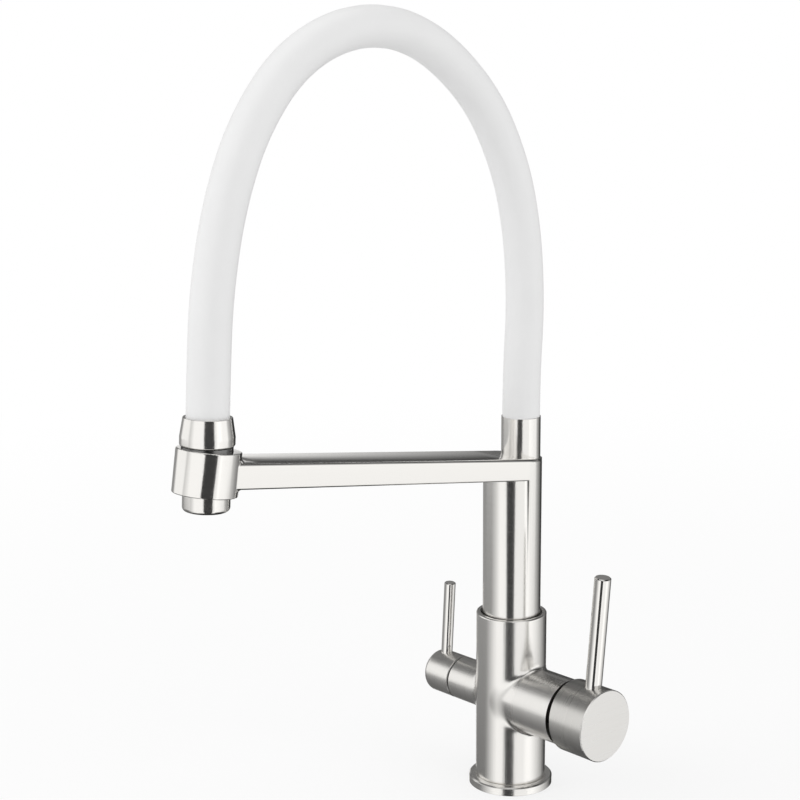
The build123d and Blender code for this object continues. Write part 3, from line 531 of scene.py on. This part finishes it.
branch_start, branch_top, branch_foot = (0.014, 0.023), (0.080, 0.070), (0.032, 0.042)
casting_nickel, tree, shader = new_material("satin_nickel_casting", 0.27)
round_tube = brush_node(tree, nickel_tones, (12.0, 12.0, 3400.0), 0.22, 0.3)
round_branch = brush_node(tree, nickel_tones, (3400.0, 12.0, 12.0), 0.30, 0.3)
place = tree.nodes.new("ShaderNodeTexCoord")
parts = tree.nodes.new("ShaderNodeSeparateXYZ")
tree.links.new(place.outputs["Object"], parts.inputs["Vector"])
aside = tree.nodes.new("ShaderNodeMath")
aside.operation = "ABSOLUTE"
tree.links.new(parts.outputs["X"], aside.inputs[0])
past_start = soft_mask(tree, aside.outputs["Value"], *branch_start)
below_top = soft_mask(tree, parts.outputs["Z"], *branch_top)
above_foot = soft_mask(tree, parts.outputs["Z"], *branch_foot)
on_branch = both_masks(tree, past_start, both_masks(tree, below_top, above_foot))
mixed = {}
for output in ("Color", "Roughness", "Height"):
    mix = tree.nodes.new("ShaderNodeMix")
    mix.data_type = "RGBA" if output == "Color" else "FLOAT"
    tree.links.new(on_branch, mix.inputs["Factor"])
    tree.links.new(round_tube.outputs[output], mix.inputs["A"])
    tree.links.new(round_branch.outputs[output], mix.inputs["B"])
    mixed[output] = mix.outputs["Result"]
metal_surface(tree, shader, mixed["Color"], mixed["Roughness"], mixed["Height"], 0.15, 0.0)
casting = cast_piece("body_casting", "body_with_branches", [casting_nickel], one_metal,
                     soften=soften_junctions)
fitted(casting, "tap_body", "body_casting")


# Column bearings
# Two black acetal bushes and a washer carry the column in the body, with an O-ring between
# them and a steel grub screw in the column's groove. Two brass nipples take the hoses below.
black_acetal, shader = mottled("black_acetal", (0.02, 0.02, 0.021), (0.035, 0.035, 0.036),
                               0.38, 500.0, 0.00002)
stainless = brushed("stainless_screws", steel_tones, round_z, 0.28)
dressed(black_acetal, "column_bushes", "slip_washer")
dressed(black_rubber, "column_o_ring")
dressed(stainless, "column_screw")
dressed(machined_brass, "outlet_nipples")


# Spout casting
# The column, the rising arm and the holder ring are one brass casting, brushed round the column,
# polished along the arm and round the ring. A black acetal liner guides the spray head in the ring.
arm_reach = 0.2187
arm_top = 0.2022
arm_rise = 8.7              # degrees
column_front = 0.0174
ring_back = 0.0172          # from the ring's axis to where the arm ends
ring_height = 0.22888
head_tilt = 3.1             # degrees


def spout_metal(middle):
    """Column, arm or ring, from how far forward a face lies."""
    if middle.y < -arm_reach + ring_back:
        return 2
    return 1 if middle.y < -column_front else 0


def crown_arm(mesh):
    """Raises the arm's flat top a little along its middle."""
    crown, root_width, tip_width, edge_radius = 0.00045, 0.0170, 0.0147, 0.0022
    root, root_fade_length, tip, tip_fade_length = 0.016, 0.012, 0.200, 0.005
    side_cuts, side_step, flatness = range(-9, 10), 0.0015, 2e-5
    forward_cuts = (16, 20, 24, 28, 60, 100, 140, 180, 195, 197, 199)       # millimetres
    slope = math.tan(math.radians(arm_rise))
    work = bmesh.new()
    work.from_mesh(mesh)
    bmesh.ops.remove_doubles(work, verts=work.verts, dist=weld_gap)
    top = [face for face in work.faces
           if all(abs(vert.co.z - arm_top + vert.co.y * slope) < flatness
                  for vert in face.verts)]
    cut = [*top, *{edge for face in top for edge in face.edges},
           *{vert for face in top for vert in face.verts}]
    places = [((side_step * k, 0, 0), (1, 0, 0)) for k in side_cuts]
    places += [((0, -0.001 * k, 0), (0, 1, 0)) for k in forward_cuts]
    for place, direction in places:
        cut = bmesh.ops.bisect_plane(work, geom=cut, plane_co=place, plane_no=direction,
                                     dist=weld_gap)["geom"]
    for vert in cut:
        if isinstance(vert, bmesh.types.BMVert):
            forward = -vert.co.y
            flat_width = root_width + (tip_width - root_width) * forward / arm_reach - edge_radius
            from_root = min(max((forward - root) / root_fade_length, 0), 1)
            from_tip = min(max((tip - forward) / tip_fade_length, 0), 1)
            vert.co.z += crown * from_root * from_tip * max(1 - (vert.co.x / flat_width) ** 2, 0)
    work.to_mesh(mesh)
    work.free()


head_place = (Matrix.Translation((0, -arm_reach, ring_height))
              @ Matrix.Rotation(math.radians(-head_tilt), 4, "X"))
column_nickel = brushed("satin_nickel_column", nickel_tones, round_z, 0.2, spread=0.5)
arm_nickel = brushed("polished_nickel_arm", nickel_tones, (1500.0, 12.0, 1500.0), 0.13, 0.2,
                     lean=-arm_rise)
ring_nickel = brushed("polished_nickel_ring", nickel_tones, round_z, 0.13, 0.2, lean=-head_tilt)
spout = cast_piece("spout_arm", "column_arm_and_ring", [column_nickel, arm_nickel, ring_nickel],
                   spout_metal, soften=crown_arm)
fitted(spout, "spout", "spout_arm")
liner = turned_piece("guide_liner", [
    (12.26, -9, 0.2), (13.26, -9, 0.2), (13.26, 9, 0.2), (12.26, 9, 0.2),
], black_acetal, head_place)
fitted(liner, "spout", "ring_liner")


# Riser pipe
# A short brushed pipe stands in a socket behind the arm and holds the sleeve's end in its mouth.
# A brass connector in it joins the hoses of the arch to the pair that comes up the column.
riser = turned_piece("riser_pipe_behind_arm", [
    (10.4, 188.2, 0), (11.5, 188.2, 0), (11.5, 224.7, 0.18), (11.06, 224.7, 0.1),
    (11.06, 215.7, 0), (10.4, 215.7, 0),
], column_nickel, Matrix.Translation((0, riser_setback, 0)))
fitted(riser, "spout", "riser_pipe")
dressed(machined_brass, "hose_connector")
column_points = [
    (0, 0, 0.0803),
    (0, 0, 0.1142),
    (0, riser_setback, 0.1621),
    (0, riser_setback, 0.1972),
]
for water, (side, radius) in hose_pair.items():
    inner = as_mesh(hose_line(water + "_water_hose_in_column", column_points, side, radius),
                    water_hose)
    inner.data.shade_smooth()
    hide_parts("column_" + water + "_hose")
    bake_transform(inner)


# Ferrule
# A polished cone, turned from brass, holds the sleeve's end above the ring. A brass tail in it
# carries the two hoses and is the pivot of the spray head.
head_nickel = brushed("polished_nickel_head", nickel_tones, round_z, 0.16, 0.3,
                      lean=-head_tilt, spread=0.3)
cone = turned_piece("turned_ferrule", [
    (10.5, 13.6, 0), (14.1, 13.6, 0.9), (14.1, 18.1, 6.0), (12.6, 27.9, 0.25),
    (11.06, 27.9, 0.2), (11.06, 20.6, 0), (10.5, 20.6, 0),
], head_nickel, head_place)
fitted(cone, "hose_end", "hose_ferrule")
dressed(machined_brass, "hose_tail")


# Spray head
# The turned nozzle slides in the ring and hangs on a polished steel seat ring, painted dark as the
# shade it sits in. An aerator with its
# gasket is screwed into its mouth: a black housing round a white disc with rings of fine jets.
lip_radius, lip_across, lip_along = 2.2, 10.0, -17.8
lip_turns = [math.radians(20.5 + 8.6875 * k) for k in range(9)]
nozzle_curve = [
    (lip_across + lip_radius * math.sin(turn), lip_along - lip_radius * math.cos(turn), 0)
    for turn in lip_turns
]
nozzle = turned_piece("turned_nozzle", [
    *nozzle_curve, (12.2, 9.3, 0.3), (10.3, 9.3, 0), (10.3, 18.3, 0.2), (5.06, 18.3, 0),
    (5.06, 4.0, 0), (7.2, 4.0, 0), (7.2, -7.3, 0), (10.77, -7.3, 0),
], head_nickel, head_place)
fitted(nozzle, "spray_head", "spray_barrel")
polished_steel = brushed("polished_steel", nickel_tones, round_z, 0.07, 0.08)
# A near-black copy of the polished steel: the seat ring under the ferrule is painted dark as shade.
seat_ring_painted_shade_tones = ((0.16, 0.16, 0.16), (0.22, 0.22, 0.22))
seat_ring_painted_shade_steel = brushed("dark_polished_steel", seat_ring_painted_shade_tones, round_z, 0.2)
seat_collar = turned_piece("polished_seat_ring", [
    (10.32, 9.3, 0), (13.2, 9.3, 0.15), (13.2, 13.3, 0.3), (10.32, 13.3, 0),
], seat_ring_painted_shade_steel, head_place)
fitted(seat_collar, "spray_head", "seat_ring")
housing = turned_piece("aerator_shell", [
    (8.45, -19.1, 0.25), (10.75, -19.1, 0.25), (10.75, -8.7, 0), (8.45, -8.7, 0), (8.45, -12.1, 0),
    (7.25, -12.1, 0), (7.25, -13.28, 0), (8.45, -13.28, 0),
], black_acetal, head_place)
fitted(housing, "spray_head", "aerator_housing")
gasket = turned_piece("aerator_flat_gasket", [
    (7.8, -8.7, 0.2), (10.75, -8.7, 0.2), (10.75, -7.32, 0.2), (7.8, -7.32, 0.2),
], black_rubber, head_place)
fitted(gasket, "spray_head", "aerator_gasket")


def make_jet_tree(rings):
    """A disc with one jet in the middle and rings of 6, 12, 18 and so on jets round it."""
    tree = bpy.data.node_groups.new("jet_disc", "GeometryNodeTree")
    socket = tree.interface.new_socket
    socket("Disc Radius", in_out="INPUT", socket_type="NodeSocketFloat")
    socket("Thickness", in_out="INPUT", socket_type="NodeSocketFloat")
    socket("Jet Radius", in_out="INPUT", socket_type="NodeSocketFloat")
    socket("Jet Spacing", in_out="INPUT", socket_type="NodeSocketFloat")
    socket("Plastic", in_out="INPUT", socket_type="NodeSocketMaterial")
    socket("Jet Disc", in_out="OUTPUT", socket_type="NodeSocketGeometry")
    add, link = tree.nodes.new, tree.links.new
    given = add("NodeGroupInput")
    rim = add("GeometryNodeCurvePrimitiveCircle")
    rim.inputs["Resolution"].default_value = 96
    link(given.outputs["Disc Radius"], rim.inputs["Radius"])
    jet = add("GeometryNodeCurvePrimitiveCircle")
    jet.inputs["Resolution"].default_value = 20
    link(given.outputs["Jet Radius"], jet.inputs["Radius"])
    outlines = add("GeometryNodeJoinGeometry")
    link(rim.outputs["Curve"], outlines.inputs["Geometry"])
    link(jet.outputs["Curve"], outlines.inputs["Geometry"])
    for ring in range(1, rings + 1):
        radius = add("ShaderNodeMath")
        radius.operation = "MULTIPLY"
        radius.inputs[1].default_value = ring
        link(given.outputs["Jet Spacing"], radius.inputs[0])
        round_ring = add("GeometryNodeMeshCircle")
        round_ring.inputs["Vertices"].default_value = 6 * ring
        link(radius.outputs["Value"], round_ring.inputs["Radius"])
        jets = add("GeometryNodeInstanceOnPoints")
        link(round_ring.outputs["Mesh"], jets.inputs["Points"])
        link(jet.outputs["Curve"], jets.inputs["Instance"])
        loose = add("GeometryNodeRealizeInstances")
        link(jets.outputs["Instances"], loose.inputs["Geometry"])
        link(loose.outputs["Geometry"], outlines.inputs["Geometry"])
    flat = add("GeometryNodeFillCurve")
    link(outlines.outputs["Geometry"], flat.inputs["Curve"])
    thick = add("GeometryNodeExtrudeMesh")
    thick.inputs["Individual"].default_value = False
    link(flat.outputs["Mesh"], thick.inputs["Mesh"])
    link(given.outputs["Thickness"], thick.inputs["Offset Scale"])
    both = add("GeometryNodeJoinGeometry")
    link(thick.outputs["Mesh"], both.inputs["Geometry"])
    link(flat.outputs["Mesh"], both.inputs["Geometry"])
    realized = add("GeometryNodeRealizeInstances")
    link(both.outputs["Geometry"], realized.inputs["Geometry"])
    surface = add("GeometryNodeSetMaterial")
    link(realized.outputs["Geometry"], surface.inputs["Geometry"])
    link(given.outputs["Plastic"], surface.inputs["Material"])
    result = add("NodeGroupOutput")
    link(surface.outputs["Geometry"], result.inputs["Jet Disc"])
    return tree


white_nylon, shader = mottled("white_nylon", (0.74, 0.74, 0.72), (0.80, 0.80, 0.78),
                              0.42, 600.0, 0.00002)
jet_rings = 3
jet_face = -0.0183          # along the head's axis
jets = grown(make_jet_tree(jet_rings), "aerator_jets", bpy.data.meshes.new("aerator_jets"),
             Disc_Radius=0.00843, Thickness=0.005, Jet_Radius=0.00062, Jet_Spacing=0.0023,
             Plastic=white_nylon)
jets.data.transform(head_place @ Matrix.Translation((0, 0, jet_face)))
jets = finished(jets)
fitted(jets, "spray_head", "jet_disc")


# Mixer cartridge
# A white nylon housing in the right branch holds a fixed ceramic disc and is kept by a brass nut,
# whose turned collar fills the split behind the knob; nut and collar are painted near black as the
# shade in that split. The handle turns and tips the carrier, its pin and the moving disc inside it.
white_ceramic, shader = mottled("white_ceramic", (0.78, 0.77, 0.74), (0.84, 0.83, 0.80),
                                0.16, 800.0, 0.000005)
cross_brass = brushed("machined_brass_crosswise", brass_tones, round_x, 0.32)
# Near-black brass: on the nut and its collar it is painted shade for the dark split behind the
# knob; the hidden stem, gland nut and spindle take it too.
dark_brass_painted_shade_tones = ((0.012, 0.011, 0.010), (0.03, 0.027, 0.024))
blackened_brass = brushed("blackened_brass", dark_brass_painted_shade_tones, round_x, 0.5)
dressed(white_nylon, "cartridge_housing")
dressed(black_rubber, "cartridge_port_seals")
dressed(white_ceramic, "fixed_disc", "moving_disc")
dressed(blackened_brass, "cartridge_stem")
dressed(black_acetal, "lever_carrier")
dressed(stainless, "pivot_pin")
nut_start = 0.0440
nut_place = (Matrix.Translation((nut_start, 0, handle_height))
             @ Matrix.Rotation(math.radians(90), 4, "Y"))
collar = turned_piece("nut_collar", [
    (14.8, 3.9, 0), (17.5, 3.9, 0), (17.5, 6.9, 1.0), (16.4, 8.4, 0.5), (14.8, 8.4, 0.2),
], blackened_brass, nut_place)


def add_collar(mesh):
    """Sets the turned collar, painted near black as shade, on the nut's outer face."""
    work = bmesh.new()
    work.from_mesh(mesh)
    work.from_mesh(collar.data)
    work.to_mesh(mesh)
    work.free()


nut = cast_piece("cartridge_nut", "notched_nut_with_collar", [blackened_brass], one_metal,
                 soften=add_collar)
bpy.data.objects.remove(collar)
fitted(nut, "tap_body", "cartridge_nut")


# Mixer handle
# A hollow satin knob sits on the cartridge's stem, fixed by a grub screw from below. Its lever
# is a polished steel rod, bevelled at the top, that leans outwards from a hole in the knob.
def cut_back_rim(mesh):
    """Leaves a clear split between a knob's hollow rear edge and its branch."""
    mixer_rim, mixer_cut, filter_rim, filter_cut = 0.0525, 0.0012, 0.0435, 0.0005
    for vert in mesh.vertices:
        if 0 < vert.co.x < mixer_rim:
            vert.co.x += mixer_cut
        elif 0 > vert.co.x > -filter_rim:
            vert.co.x -= filter_cut


lever_foot, lever_lean = 0.0640, math.radians(4.9)
lever_place = (Matrix.Translation((lever_foot, 0, handle_height))
               @ Matrix.Rotation(lever_lean, 4, "Y"))
# One satin nickel for the whole knob: painted darker on the side as shade, painted lighter on the
# face as a highlight.
knob_side_painted_shade_tones = ((0.64, 0.63, 0.61), (0.70, 0.69, 0.67))
knob_face_painted_highlight_tones = ((0.92, 0.905, 0.88), (0.96, 0.955, 0.94))
knob_side_nickel_painted_shade = brushed("satin_nickel_knob_side", knob_side_painted_shade_tones, round_x, 0.3)
knob_face_nickel_painted_highlight = brushed("satin_nickel_knob_face", knob_face_painted_highlight_tones, round_z, 0.3)


def knob_metal(middle):
    """The knob's round face takes a lighter copy of its satin nickel as a painted highlight, and
    its side a darker copy as painted shade.
    """
    face_edge = 0.0745
    return 1 if middle.x > face_edge else 0


knob = cast_piece("mixer_knob", "mixer_knob_shell", [knob_side_nickel_painted_shade, knob_face_nickel_painted_highlight],
                  knob_metal, soften=cut_back_rim)
fitted(knob, "mixer_handle", "mixer_knob")
lever = turned_piece("mixer_lever_rod", [
    (0, 6.4, 0), (3, 6.4, 0.2), (3, 10.55, 0), (4.8, 10.55, 0.1), (4.8, 87.3, 0.1),
    (4.2, 87.9, 0.1), (0, 87.9, 0),
], polished_steel, lever_place, steps=64)
fitted(lever, "mixer_handle", "mixer_lever")
dressed(stainless, "mixer_knob_screw")


# Filtered water valve and its handle
# A quarter-turn brass headpart with two ceramic discs sits in the left branch, under a small
# satin knob with a rounded end. Its thinner polished lever leans a little towards the column.
small_lever_foot, small_lever_lean = -0.0566, math.radians(3.6)
small_lever_place = (Matrix.Translation((small_lever_foot, 0, filter_height))
                     @ Matrix.Rotation(small_lever_lean, 4, "Y"))
knob_nickel = brushed("satin_nickel_knobs", nickel_tones, round_x, 0.3)
dressed(cross_brass, "filter_headpart")
dressed(blackened_brass, "gland_nut", "filter_spindle")
dressed(white_ceramic, "filter_fixed_disc", "filter_moving_disc")
dressed(black_rubber, "filter_valve_seal")
small_knob = cast_piece("filter_knob", "filter_knob_shell", [knob_nickel], one_metal,
                        soften=cut_back_rim)
fitted(small_knob, "filter_handle", "filter_knob")
small_lever = turned_piece("filter_lever_rod", [
    (0, 5.2, 0), (2, 5.2, 0.2), (2, 8.0, 0), (3.5, 8.0, 0.1), (3.5, 58.18, 0.08),
    (3.08, 58.6, 0.08), (0, 58.6, 0),
], polished_steel, small_lever_place, steps=64)
fitted(small_lever, "filter_handle", "filter_lever")
dressed(stainless, "filter_knob_screw")


# Room
# A pale floor that fades into white, and a photo studio of large soft panels with dark gaps
# between them, which the metal shows as its stripes. Angles are round from the camera's side.
floor_half = 6
white_from, white_to, nearest_white = 0.2, 1.2, 0.75
floor_mesh = bpy.data.meshes.new("floor")
floor_mesh.from_pydata([
    (-floor_half, -floor_half, 0), (floor_half, -floor_half, 0),
    (floor_half, floor_half, 0), (-floor_half, floor_half, 0),
], [], [(0, 1, 2, 3)])
floor = bpy.data.objects.new("floor", floor_mesh)
scene.collection.objects.link(floor)
floor_material, tree, shader = new_material("white_floor", 0.9)
shader.inputs["Base Color"].default_value = (0.86, 0.86, 0.86, 1)
shader.inputs["Specular IOR Level"].default_value = 0.0
add, link = tree.nodes.new, tree.links.new
place = add("ShaderNodeTexCoord")
distance = add("ShaderNodeVectorMath")
distance.operation = "LENGTH"
link(place.outputs["Object"], distance.inputs[0])
fade = add("ShaderNodeMapRange")
fade.interpolation_type = "SMOOTHSTEP"
fade.inputs["From Min"].default_value = white_from
fade.inputs["From Max"].default_value = white_to
fade.inputs["To Min"].default_value = nearest_white
fade.inputs["To Max"].default_value = 1.0
link(distance.outputs["Value"], fade.inputs["Value"])
white = add("ShaderNodeEmission")
rays = add("ShaderNodeLightPath")
seen = add("ShaderNodeMath")
seen.operation = "MULTIPLY"
link(fade.outputs["Result"], seen.inputs[0])
link(rays.outputs["Is Camera Ray"], seen.inputs[1])
paper = add("ShaderNodeMixShader")
link(seen.outputs["Value"], paper.inputs["Fac"])
link(shader.outputs["BSDF"], paper.inputs[1])
link(white.outputs["Emission"], paper.inputs[2])
clear = add("ShaderNodeBsdfTransparent")
open_floor = add("ShaderNodeMixShader")
link(rays.outputs["Is Glossy Ray"], open_floor.inputs["Fac"])
link(paper.outputs["Shader"], open_floor.inputs[1])
link(clear.outputs["BSDF"], open_floor.inputs[2])
link(open_floor.outputs["Shader"], tree.nodes["Material Output"].inputs["Surface"])
floor_mesh.materials.append(floor_material)


def make_panel_group():
    """One soft light panel of the studio: its brightness in a direction of the sky."""
    group = bpy.data.node_groups.new("light_panel", "ShaderNodeTree")
    for name in ("Azimuth", "Elevation", "Left", "Right", "Left Fade", "Right Fade", "Bottom",
                 "Top", "Height Fade", "Brightness"):
        group.interface.new_socket(name, in_out="INPUT", socket_type="NodeSocketFloat")
    group.interface.new_socket("Light", in_out="OUTPUT", socket_type="NodeSocketFloat")
    given = group.nodes.new("NodeGroupInput")

    def math_node(operation, *values, clamp=False):
        node = group.nodes.new("ShaderNodeMath")
        node.operation = operation
        node.use_clamp = clamp
        for socket, value in zip(node.inputs, values):
            if isinstance(value, (int, float)):
                socket.default_value = value
            else:
                group.links.new(value, socket)
        return node.outputs["Value"]

    azimuth, elevation = given.outputs["Azimuth"], given.outputs["Elevation"]
    left, right = given.outputs["Left"], given.outputs["Right"]
    middle = math_node("MULTIPLY", math_node("ADD", left, right), 0.5)
    half = math_node("MULTIPLY", math_node("SUBTRACT", right, left), 0.5)
    off = math_node("WRAP", math_node("SUBTRACT", azimuth, middle), 180, -180)
    edges = [
        (math_node("ADD", off, half), given.outputs["Left Fade"]),
        (math_node("SUBTRACT", half, off), given.outputs["Right Fade"]),
        (math_node("SUBTRACT", elevation, given.outputs["Bottom"]), given.outputs["Height Fade"]),
        (math_node("SUBTRACT", given.outputs["Top"], elevation), given.outputs["Height Fade"]),
    ]
    light = given.outputs["Brightness"]
    for inside, soft in edges:
        light = math_node("MULTIPLY", light, math_node("DIVIDE", inside, soft, clamp=True))
    result = group.nodes.new("NodeGroupOutput")
    group.links.new(light, result.inputs["Light"])
    return group


panel_group = make_panel_group()
camera_azimuth = 48.0
light_between_panels = 0.035
room_light = 0.88
# Name: left, right, left fade, right fade, bottom, top, height fade, brightness
panels = {
    "left_far_wall": (-180, -80, 4, 12, -60, 60, 10, 0.16),
    "left_wall": (-180, -80, 4, 12, -27, 6, 7, 0.31),
    "left_window": (-106, 20, 54, 10, -60, 55, 10, 1.08),
    "window_by_camera": (-30, 55, 10, 1.5, -60, 55, 10, 1.0),
    "middle_window": (22, 55, 26, 1.5, -60, 55, 10, 1.22),
    "right_window": (53, 142, 1.5, 80, -44, 46, 38, 1.26),
    "low_right_window": (53, 142, 1.5, 80, -44, -4, 12, 1.22),
    "arm_window": (40, 112, 8, 16, -19.5, 18, 5, 1.09),
    "left_low_lamp": (-136, -62, 16, 16, -14, 36, 5, 1.03),
    "back_window": (173, 215, 13, 12, -10, 7, 5, 1.05),
    "high_back_wall": (120, 240, 10, 10, 13, 31, 6, 0.22),
    "low_back_window": (158, 202, 8, 8, -36, -12, 6, 0.9),
    "ceiling": (-180, 180, 0.01, 0.01, 58, 100, 12, 1.0),
}
world = bpy.data.worlds.new("studio")
scene.world = world
world.use_nodes = True
tree = world.node_tree
tree.nodes.clear()
add, link = tree.nodes.new, tree.links.new
sky = add("ShaderNodeTexCoord")
parts = add("ShaderNodeSeparateXYZ")
link(sky.outputs["Generated"], parts.inputs["Vector"])
backwards = add("ShaderNodeMath")
backwards.operation = "MULTIPLY"
backwards.inputs[1].default_value = -1.0
link(parts.outputs["Y"], backwards.inputs[0])
turn = add("ShaderNodeMath")
turn.operation = "ARCTAN2"
link(parts.outputs["X"], turn.inputs[0])
link(backwards.outputs["Value"], turn.inputs[1])
azimuth = add("ShaderNodeMath")
azimuth.operation = "DEGREES"
link(turn.outputs["Value"], azimuth.inputs[0])
rise = add("ShaderNodeMath")
rise.operation = "ARCSINE"
link(parts.outputs["Z"], rise.inputs[0])
elevation = add("ShaderNodeMath")
elevation.operation = "DEGREES"
link(rise.outputs["Value"], elevation.inputs[0])
brightest = None
for name, (left, right, left_fade, right_fade, bottom, top, fade_up, brightness) in panels.items():
    panel = add("ShaderNodeGroup")
    panel.name = name
    panel.node_tree = panel_group
    link(azimuth.outputs["Value"], panel.inputs["Azimuth"])
    link(elevation.outputs["Value"], panel.inputs["Elevation"])
    panel.inputs["Left"].default_value = camera_azimuth + left
    panel.inputs["Right"].default_value = camera_azimuth + right
    panel.inputs["Left Fade"].default_value = left_fade
    panel.inputs["Right Fade"].default_value = right_fade
    panel.inputs["Bottom"].default_value = bottom
    panel.inputs["Top"].default_value = top
    panel.inputs["Height Fade"].default_value = fade_up
    panel.inputs["Brightness"].default_value = brightness
    more = add("ShaderNodeMath")
    more.operation = "MAXIMUM"
    link(panel.outputs["Light"], more.inputs[0])
    if brightest:
        link(brightest, more.inputs[1])
    else:
        more.inputs[1].default_value = light_between_panels
    brightest = more.outputs["Value"]
studio = add("ShaderNodeBackground")
studio.inputs["Color"].default_value = (1.0, 0.995, 0.985, 1)
link(brightest, studio.inputs["Strength"])
soft_light = add("ShaderNodeBackground")
soft_light.inputs["Color"].default_value = (1, 1, 1, 1)
soft_light.inputs["Strength"].default_value = room_light
backdrop = add("ShaderNodeBackground")
backdrop.inputs["Color"].default_value = (1, 1, 1, 1)
rays = add("ShaderNodeLightPath")
lit = add("ShaderNodeMixShader")
link(rays.outputs["Is Glossy Ray"], lit.inputs["Fac"])
link(soft_light.outputs["Background"], lit.inputs[1])
link(studio.outputs["Background"], lit.inputs[2])
shown = add("ShaderNodeMixShader")
link(rays.outputs["Is Camera Ray"], shown.inputs["Fac"])
link(lit.outputs["Shader"], shown.inputs[1])
link(backdrop.outputs["Background"], shown.inputs[2])
link(shown.outputs["Shader"], add("ShaderNodeOutputWorld").inputs["Surface"])

lamp_target = Vector((0, -0.1, 0.2))
for name, place, watts, size in (
    ("soft_lamp_left", (-0.9, -1.6, 1.5), 10.0, 1.2),
    ("soft_lamp_right", (1.9, 0.2, 1.6), 6.0, 1.2),
):
    lamp = bpy.data.objects.new(name, bpy.data.lights.new(name, "AREA"))
    lamp.data.energy = watts
    lamp.data.size = size
    lamp.location = place
    lamp.rotation_mode = "QUATERNION"
    lamp.rotation_quaternion = (lamp_target - lamp.location).to_track_quat("-Z", "Y")
    lamp.visible_glossy = False
    lamp.visible_camera = False
    scene.collection.objects.link(lamp)

# A narrow black card stands close before the tap, seen in the metal alone
card_width, card_low, card_high = 0.25, -0.5, 0.9
across = Vector((math.cos(math.radians(camera_azimuth)), math.sin(math.radians(camera_azimuth)), 0))
card_middle = Vector((0.282, -0.357, 0))
card_mesh = bpy.data.meshes.new("black_card")
card_mesh.from_pydata([
    tuple(card_middle + across * side * card_width / 2 + Vector((0, 0, height)))
    for side, height in ((-1, card_low), (1, card_low), (1, card_high), (-1, card_high))
], [], [(0, 1, 2, 3)])
card = bpy.data.objects.new("black_card", card_mesh)
scene.collection.objects.link(card)
card_material, tree, shader = new_material("black_paper", 1.0)
shader.inputs["Base Color"].default_value = (0.02, 0.02, 0.02, 1)
shader.inputs["Specular IOR Level"].default_value = 0.0
shader.inputs["Emission Color"].default_value = (0.03, 0.03, 0.03, 1)
shader.inputs["Emission Strength"].default_value = 1.0
card_mesh.materials.append(card_material)
card.visible_camera = False
card.visible_diffuse = False
card.visible_shadow = False
card.visible_transmission = False
